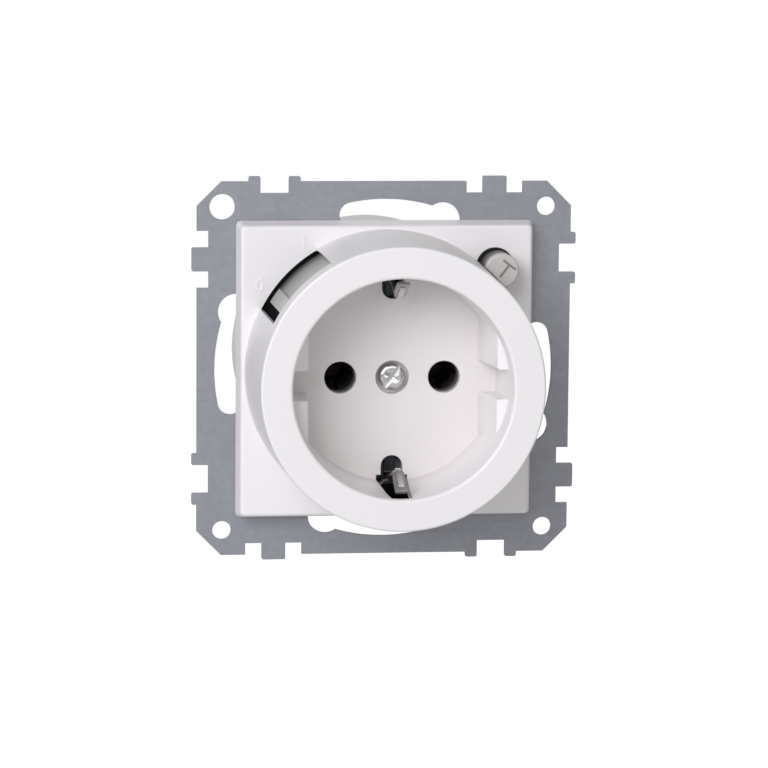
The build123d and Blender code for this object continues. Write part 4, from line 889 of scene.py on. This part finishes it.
@dataclass
class SupportFrame:
    """Stamped sheet with cut corners, joining tabs, keyhole slots and corner holes."""

    half: float = 34.65
    tab_half: float = 35.6
    notch_half: float = 32.5
    corner_leg: float = 4.5
    sheet: float = 1.0
    slot_r: float = 29.1
    slot_w: float = 4.6

    def blank(self) -> Solid:
        """Makes the square sheet, as wide as over its tabs, and cuts its corners off.

        Returns:
            The blank.
        """
        half = self.tab_half
        blank = box_solid((-half, -half, 0.0), (half, half, self.sheet))
        reach = (self.half - self.corner_leg / 2) * MM
        for x, y in ((1, 1), (1, -1), (-1, 1), (-1, -1)):
            hold(blank)
            mode("EDIT")
            bpy.ops.mesh.select_all(action="SELECT")
            bpy.ops.mesh.bisect(plane_co=(x * reach, y * reach, 0), plane_no=(x, y, 0),
                                use_fill=True, clear_outer=True)
            mode("OBJECT")
        return blank

    def waste(self) -> Solid:
        """Makes all that the punch takes from the upper side of the blank.

        Returns:
            What lies round the tabs and the tongue, with the curved keyhole slot.
        """
        low, high, out = -0.5, self.sheet + 0.5, self.tab_half + 1.0
        edge, deep = self.half, self.notch_half
        outlines = (
            ((-out, edge), (-25.15, edge), (-25.15, out), (-out, out)),
            ((-23.0, deep), (-17.75, deep), (-17.75, out), (-23.0, out)),
            ((-15.6, edge), (15.1, edge), (15.1, deep), (18.15, deep), (18.15, out), (-15.6, out)),
            ((22.55, deep), (25.6, deep), (25.6, edge), (out, edge), (out, out), (22.55, out)),
        )
        half_w = self.slot_w / 2
        ring = section(self.slot_r - half_w, self.slot_r + half_w, low, high)
        waste = turned_solid(ring, 24, 68.7, 102.1)
        work(waste, rod_solid(half_w, low, high, polar(self.slot_r, 102.1), 40), Cut.ADD)
        work(waste, rod_solid(3.3, low, high, polar(29.45, 68.7), 56), Cut.ADD)
        for outline in outlines:
            slab = extruded([(x, y, low) for x, y in outline], (0, 0, high - low))
            hold(waste)
            slab.select_set(True)
            bpy.ops.object.join()
        return waste

    def build(self) -> Solid:
        """Stamps the sheet and finishes it.

        Returns:
            The frame.
        """
        sheet = self.blank()
        waste = self.waste()
        for side in range(4):
            work(sheet, copied(waste, -90 * side), Cut.TAKE)
        scrap(waste)
        over = self.tab_half - 0.01
        round_edges(sheet, 0.3, 3, lambda a, b: abs(a.z - b.z) > 0.5
                    and max(abs(a.x), abs(a.y)) > over)
        holes = [(1.725, (30, 30)), (1.725, (30, -30)), (1.725, (-30, -30)), (2.35, (-30, 30))]
        holes += [(1.35, polar(22.7, angle)) for angle in (15, 105, 195, 285)]
        holes += [(20.4, (0.0, 0.0)), (1.4, polar(STEM_R, BUTTON_ANGLE))]
        for radius, place in holes:
            steps = 192 if radius > 10 else 48
            work(sheet, rod_solid(radius, -1, 2, place, steps), Cut.TAKE)
        way = box_solid((19.9, -1.4, -1.0), (STEM_R, 1.4, 2.0))
        work(sheet, copied(way, BUTTON_ANGLE), Cut.TAKE)
        scrap(way)
        work(sheet, turned_solid(section(19.4, 22.0, -1, 2), 16, 317.0, 350.5), Cut.TAKE)
        soften(sheet, 0.1, 2, 40)
        return complete(sheet, "stamped_frame", GALVANISED, 30, ["support_frame"])


@dataclass
class ResetLever:
    """Lever with its curved shield, bearing ring and drive finger."""

    ring_in: float = 19.5
    ring_out: float = 20.3
    low: float = 2.8
    ring_top: float = 7.7
    floor_top: float = 4.3
    top: float = 26.0
    root: float = 19.9
    nib_foot: float = 9.0
    shield_start: float = 111.5
    shield_end: float = 148.5
    nib_start: float = 142.0

    def build(self, cover: Cover) -> Solid:
        """Builds the lever inside the cover's collar.

        Args:
            cover: the moulding that it moves in.

        Returns:
            The lever.
        """
        low, top, root, foot, step = self.low, self.top, self.root, self.nib_foot, self.floor_top
        collar = cover.collar_r
        ring = section(self.ring_in, self.ring_out, low, self.ring_top)
        lever = turned_solid(ring, 128, closed=True)
        shield = [(root, low), (collar(low, 1.35), low), (collar(top, 1.35), top),
                  (collar(top, 2.75), top), (collar(step, 2.75), step), (root, step)]
        work(lever, turned_solid(shield, 40, self.shield_start, self.shield_end), Cut.ADD)
        nib = turned_solid([(collar(foot, 2.05), foot), (collar(foot, 0.35), foot),
                            (collar(top, 0.35), top), (collar(top, 2.05), top)],
                           10, self.nib_start, self.shield_end - 0.01)
        face_r = collar((foot + top) / 2, 1.1)
        round_edges(nib, 0.3, 4, lambda a, b: a.xy.length > face_r and b.xy.length > face_r
                    and ((a - b).length > 10 or max(a.z, b.z) < foot + 0.1))
        work(lever, nib, Cut.ADD)
        work(lever, turned_solid(section(root, 21.6, low, step), 10, 341.0, 349.0), Cut.ADD)
        finger = section(20.6, 21.58, -5.0, 4.0)
        work(lever, turned_solid(finger, 10, 341.05, 348.95), Cut.ADD)
        return complete(lever, "lever_moulding", GREY_PLASTIC, 35, ["reset_lever"], Body.LEVER)


@dataclass
class TestButton:
    """Round cap that the collar's foot cuts off, with flange, arm and stem."""

    at: Point2 = (20.2, 19.2)
    cap_r: float = 3.1
    cap_top: float = 12.0
    flange_r: float = 4.1
    low: float = 2.6
    wall_clear: float = 0.14
    mark_at: Point2 = (21.55, 20.25)
    mark_turn: float = -38.0

    def outline(self, cover: Cover, radius: float, low: float, high: float) -> Solid:
        """Makes a round slab with the collar's foot taken off.

        Args:
            cover: the moulding whose collar it clears.
            radius: of the slab.
            low: height of its underside.
            high: height of its top.

        Returns:
            The slab.
        """
        slab = rod_solid(radius, low, high, self.at, 72)
        foot, top = (cover.collar_r(z, -self.wall_clear) for z in (low - 1, high + 1))
        work(slab, rod_solid(foot, low - 1, high + 1, steps=384, top_radius=top), Cut.TAKE)
        return slab

    def build(self, cover: Cover) -> Solid:
        """Builds the button beside the cover's collar.

        Args:
            cover: the moulding that it moves in.

        Returns:
            The button.
        """
        low = self.low
        cap = self.outline(cover, self.cap_r, low, self.cap_top)
        round_edges(cap, 0.4, 4, lambda a, b: min(a.z, b.z) > self.cap_top - 0.01)
        work(cap, self.outline(cover, self.flange_r, low, 3.4), Cut.ADD)
        arm = box_solid((STEM_R, -1.7, low), (27.2, 1.7, 3.39))
        work(cap, settle(arm, BUTTON_ANGLE), Cut.ADD)
        work(cap, rod_solid(1.1, -6.0, 3.38, polar(STEM_R, BUTTON_ANGLE), 32), Cut.ADD)
        work(cap, rod_solid(1.7, 1.6, 7.3, polar(29.0, BUTTON_ANGLE), 40), Cut.TAKE)
        return complete(cap, "button_moulding", BUTTON_PLASTIC, 32, ["test_button"], Body.BUTTON)

    def mark(self) -> Solid:
        """Makes the T on the cap, turned clockwise.

        Returns:
            The mark.
        """
        thick, top, low = 0.22, self.cap_top + 0.03, self.cap_top - 0.05
        sign = box_solid((-1.45, -thick, low), (1.45, thick, top))
        work(sign, box_solid((-thick, -2.85, low), (thick, 0.0, top)), Cut.ADD)
        sign.location = (self.mark_at[0] * MM, self.mark_at[1] * MM, 0)
        settle(sign, self.mark_turn)
        return complete(sign, "button_mark", BUTTON_MARK, 40, body=Body.BUTTON)


def raised_sign(text: str, at: Point2, name: str) -> Solid:
    """Makes one sign that stands faintly up from the plate.

    Args:
        text: the sign.
        at: place of its middle.
        name: the piece's name.

    Returns:
        The sign as a mesh.
    """
    bpy.ops.object.select_all(action="DESELECT")
    bpy.ops.object.text_add()
    sign = bpy.context.object
    sign.data.body = text
    sign.data.size = SIGN_SIZE * MM
    sign.data.extrude = SIGN_HEIGHT * MM
    sign.data.align_x = "CENTER"
    sign.data.align_y = "CENTER"
    bpy.ops.object.convert(target="MESH")
    sign = bpy.context.object
    sign.location = (at[0] * MM, at[1] * MM, Cover.plate_top * MM)
    settle(sign)
    mode("EDIT")
    bpy.ops.mesh.select_all(action="SELECT")
    bpy.ops.mesh.remove_doubles(threshold=1e-7)
    face_out()
    return complete(sign, name, WHITE_PLASTIC, 40)


@dataclass
class EarthStrap:
    """Strap across the carrier with a sprung clip and its bead at each end."""

    seat: float = 9.3
    sheet: float = 0.7
    strap_half: float = 3.0
    end_r: float = 13.2
    foot_half: float = 2.5
    leg_half: float = 1.0
    neck_half: float = 0.75
    tongue_half: float = 1.15
    bead_half: float = 0.5
    tip: float = 28.9
    strap_end: float = 14.4
    wing_sheet: float = 0.4

    def strip(self, thick: float, half: float) -> Solid:
        """Bends a strip along the upper clip's line.

        Args:
            thick: sheet thickness in mm.
            half: half of its width.

        Returns:
            The closed strip, along its middle line.
        """
        level = self.seat + self.sheet / 2
        line = bent_line([(self.end_r - 0.5, level), (18.7, level), (18.7, 15.0), (15.0, 22.4),
                          (18.7, 28.6)], [1.0, 1.6, 1.8], 6)
        return bent_sheet([(-half, y, z) for y, z in line], (2 * half, 0, 0), thick, True)

    def clip(self) -> Solid:
        """Makes the upper clip: a sprung tongue on a narrow leg, with a thin wing at each side.

        Returns:
            The clip.
        """
        clip = self.strip(self.sheet, self.foot_half)
        leg, neck, tongue = self.leg_half, self.neck_half, self.tongue_half
        shape = [(-leg, 5.0), (-leg, 16.0), (-neck, 17.0), (-neck, 21.9), (-neck - 0.15, 22.4),
                 (-tongue + 0.1, 23.6), (-tongue, 25.0), (-tongue, self.tip)]
        shape += [(-x, z) for x, z in reversed(shape)]
        work(clip, extruded([(x, 10.0, z) for x, z in shape], (0, 12, 0)), Cut.KEEP)
        soften(clip, 0.15, 3, 50)
        for side in (-1, 1):
            work(clip, self.wing(side), Cut.ADD)
        return clip

    def bead(self) -> Solid:
        """Makes the bead along the upper clip's tongue, finished brighter than the clip as a
        painted highlight.

        Returns:
            The bead.
        """
        bead = self.strip(self.sheet + 0.8, self.bead_half)
        work(bead, box_solid((-2.0, 10.0, 22.3), (2.0, 21.0, 27.6)), Cut.KEEP)
        soften(bead, 0.34, 4, 50)
        return bead

    def wing(self, side: int) -> Solid:
        """Bends one thin wing that steadies the clip's leg in the wall's slot.

        Args:
            side: -1 for the left wing, 1 for the right one.

        Returns:
            The wing.
        """
        line = ((0.9, 18.5), (1.5, 18.6), (2.1, 19.0), (2.5, 19.6))
        wire = [(side * x, y, 11.0) for x, y in line]
        return bent_sheet(wire, (0, 0, 4.6), self.wing_sheet, False)

    def build(self) -> Solid:
        """Builds the strap in near-black nickel as painted shade, the two clips and their beads.

        Returns:
            The strap.
        """
        low, high = self.seat, self.seat + self.sheet
        half, end = self.strap_half, self.strap_end
        strap = box_solid((-half, -end, low), (half, end, high))
        round_edges(strap, 0.4, 3, lambda a, b: abs(a.z - b.z) > 0.5)
        work(strap, rod_solid(1.7, low - 1, high + 1, steps=40), Cut.TAKE)
        complete(strap, "earth_flat_strap", SHADED_NICKEL, 35, ["earth_strap"])
        # The bead's bright nickel against the clip's darker nickel is a painted highlight.
        for make, label, finish, smooth in ((self.clip, "earth_clip", CLIP_NICKEL, 35),
                                            (self.bead, "earth_bead", NICKEL, 60)):
            upper = make()
            twin = copied(upper, 180)
            complete(upper, label + "_upper", finish, smooth)
            complete(twin, label + "_lower", finish, smooth)
        return strap


@dataclass
class CentreScrew:
    """Raised-head screw with a slot and a cross, in the floor's well."""

    head_r: float = 2.4
    seat: float = 11.3
    head_top: float = 13.2
    turn: float = 55.0

    def build(self) -> Solid:
        """Turns the screw and cuts its drive.

        Returns:
            The screw.
        """
        edge = 0.72
        profile = [(0.0, self.head_top)]
        for i in range(9):
            x, z = polar(edge, 90 - 11.25 * i)
            profile.append((self.head_r - edge + x, self.head_top - edge + z))
        profile += [(self.head_r, self.seat), (1.5, self.seat), (1.5, 1.95), (1.05, 1.5),
                    (0.0, 1.5)]
        screw = turned_solid(profile, 64)
        low = self.head_top - 0.9
        slot = box_solid((-2.6, -0.35, low), (2.6, 0.35, 14.0))
        work(slot, box_solid((-0.35, -1.4, low), (0.35, 1.4, 14.01)), Cut.ADD)
        work(screw, copied(slot, self.turn), Cut.TAKE)
        scrap(slot)
        soften(screw, 0.05, 2, 50)
        return complete(screw, "cover_screw", NICKEL, 35, ["centre_screw"])


# Set


@dataclass
class Studio:
    """Camera of the photo's view, soft lamps, the room's fill, a pale floor and a black card."""

    place: Point3 = (-0.0856, -0.6942, 0.0920)
    right: Point3 = (0.99255, -0.12156, 0.007865)
    up: Point3 = (0.008636, 0.13463, 0.99085)
    lens: float = 178.6
    fill: float = 0.26
    floor_z: float = -0.16
    floor_lift: float = 0.74
    card_at: Point3 = (0.62, -0.95, 0.02)
    card_size: float = 0.34

    def camera(self) -> None:
        """Sets the camera where the photo was taken from."""
        data = bpy.data.cameras.new("camera")
        data.lens = self.lens
        data.sensor_width = 36.0
        data.clip_start = 0.01
        data.clip_end = 50.0
        camera = bpy.data.objects.new("camera", data)
        bpy.context.scene.collection.objects.link(camera)
        right = Vector(self.right).normalized()
        back = right.cross(Vector(self.up)).normalized()
        turn = Matrix((right, back.cross(right), back)).transposed().to_4x4()
        camera.matrix_world = Matrix.Translation(Vector(self.place)) @ turn
        bpy.context.scene.camera = camera

    def lamp(self, name: str, place: Point3, power: float, size: float, tint: Point3) -> None:
        """Adds a square soft lamp that points at the socket.

        Args:
            name: of the lamp.
            place: in metres.
            power: in watts.
            size: side of the lamp in metres.
            tint: its colour.
        """
        data = bpy.data.lights.new(name, "AREA")
        data.energy, data.color, data.size = power, tint, size
        lamp = bpy.data.objects.new(name, data)
        bpy.context.scene.collection.objects.link(lamp)
        lamp.location = place
        lamp.rotation_euler = (-Vector(place)).to_track_quat("-Z", "Y").to_euler()

    def flag(self) -> None:
        """Hangs a small black card at the right, which the bright metal reflects."""
        place = Vector(self.card_at)
        bpy.ops.mesh.primitive_plane_add(size=self.card_size, location=place)
        card = bpy.context.object
        card.name = "black_card"
        card.rotation_euler = (-place).to_track_quat("Z", "Y").to_euler()
        settle(card)
        paint, shader = new_paint("card_black")
        shader.inputs["Base Color"].default_value = (0.01, 0.01, 0.01, 1.0)
        card.data.materials.append(paint)

    def world(self) -> None:
        """Fills the room evenly and shows white to the camera, in reflections and through glass."""
        world = bpy.data.worlds.new("room")
        bpy.context.scene.world = world
        world.use_nodes = True
        world.node_tree.nodes.clear()
        nodes = {"path": ("LightPath", None, {}), "seen": ("Math", "MAXIMUM", {}),
                 "shown": ("Math", "MAXIMUM", {}),
                 "fill": ("Background", None, {"Color": WHITE, "Strength": self.fill}),
                 "white": ("Background", None, {"Color": WHITE, "Strength": 1.0}),
                 "mix": ("MixShader", None, {}), "out": ("OutputWorld", None, {})}
        add_nodes(world.node_tree, nodes, (
            "path.Is Camera Ray > seen.0, path.Is Glossy Ray > seen.1, seen.0 > shown.0, "
            "path.Is Transmission Ray > shown.1, shown.0 > mix.0, fill.0 > mix.1, "
            "white.0 > mix.2, mix.0 > out.Surface"), {})

    def floor(self) -> None:
        """Lays the pale floor, which stays white to the camera outside the shadow."""
        bpy.ops.mesh.primitive_plane_add(size=60.0, location=(0, 0, self.floor_z))
        floor = settle(bpy.context.object)
        floor.name = "studio_floor"
        paint, shader = new_paint("floor_paint")
        shader.inputs["Base Color"].default_value = (0.8, 0.8, 0.8, 1.0)
        shader.inputs["Roughness"].default_value = 0.9
        shader.inputs["Emission Color"].default_value = WHITE
        nodes = {"path": ("LightPath", None, {}),
                 "lift": ("Math", "MULTIPLY", {1: self.floor_lift})}
        wires = "path.Is Camera Ray > lift.0, lift.0 > shader.Emission Strength"
        add_nodes(paint.node_tree, nodes, wires, {"shader": shader})
        floor.data.materials.append(paint)

    def build(self) -> None:
        """Sets the whole studio up."""
        bpy.context.scene.view_settings.view_transform = "Standard"
        self.camera()
        self.world()
        self.floor()
        self.lamp("key", (-0.64, -1.0, 0.5), 11.2, 0.75, (0.96, 0.96, 1.0))
        self.lamp("front", (0.1, -1.2, 0.3), 1.6, 0.8, (1.0, 0.99, 0.98))
        self.flag()


def dress_nodes() -> None:
    """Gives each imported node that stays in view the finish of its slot."""
    by_slot = {finish.slot: finish for finish in FINISHES}
    for name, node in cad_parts.items():
        for place in node.material_slots:
            label = place.material.name.split(".")[0] if place.material else ""
            if label in by_slot:
                # The contact sleeves take the brass's painted-shade copy.
                sleeve_in_shade = name.startswith("contact_sleeve")
                place.material = (SHADED_BRASS if sleeve_in_shade else by_slot[label]).material()
            else:
                LOG.info("%s keeps %s", name, label)


def main() -> None:
    """Builds the studio and each sub-assembly in order."""
    logging.basicConfig(level=logging.INFO, format="%(message)s")
    Studio().build()
    dress_nodes()
    cover = Cover()
    cover.build()
    SupportFrame().build()
    ResetLever().build(cover)
    button = TestButton()
    button.build(cover)
    button.mark()
    CentreScrew().build()
    EarthStrap().build()
    raised_sign("0", (-23.4, 15.9), "sign_tripped")
    raised_sign("I", (-15.3, 24.04), "sign_on")


if __name__ == "__main__":
    main()
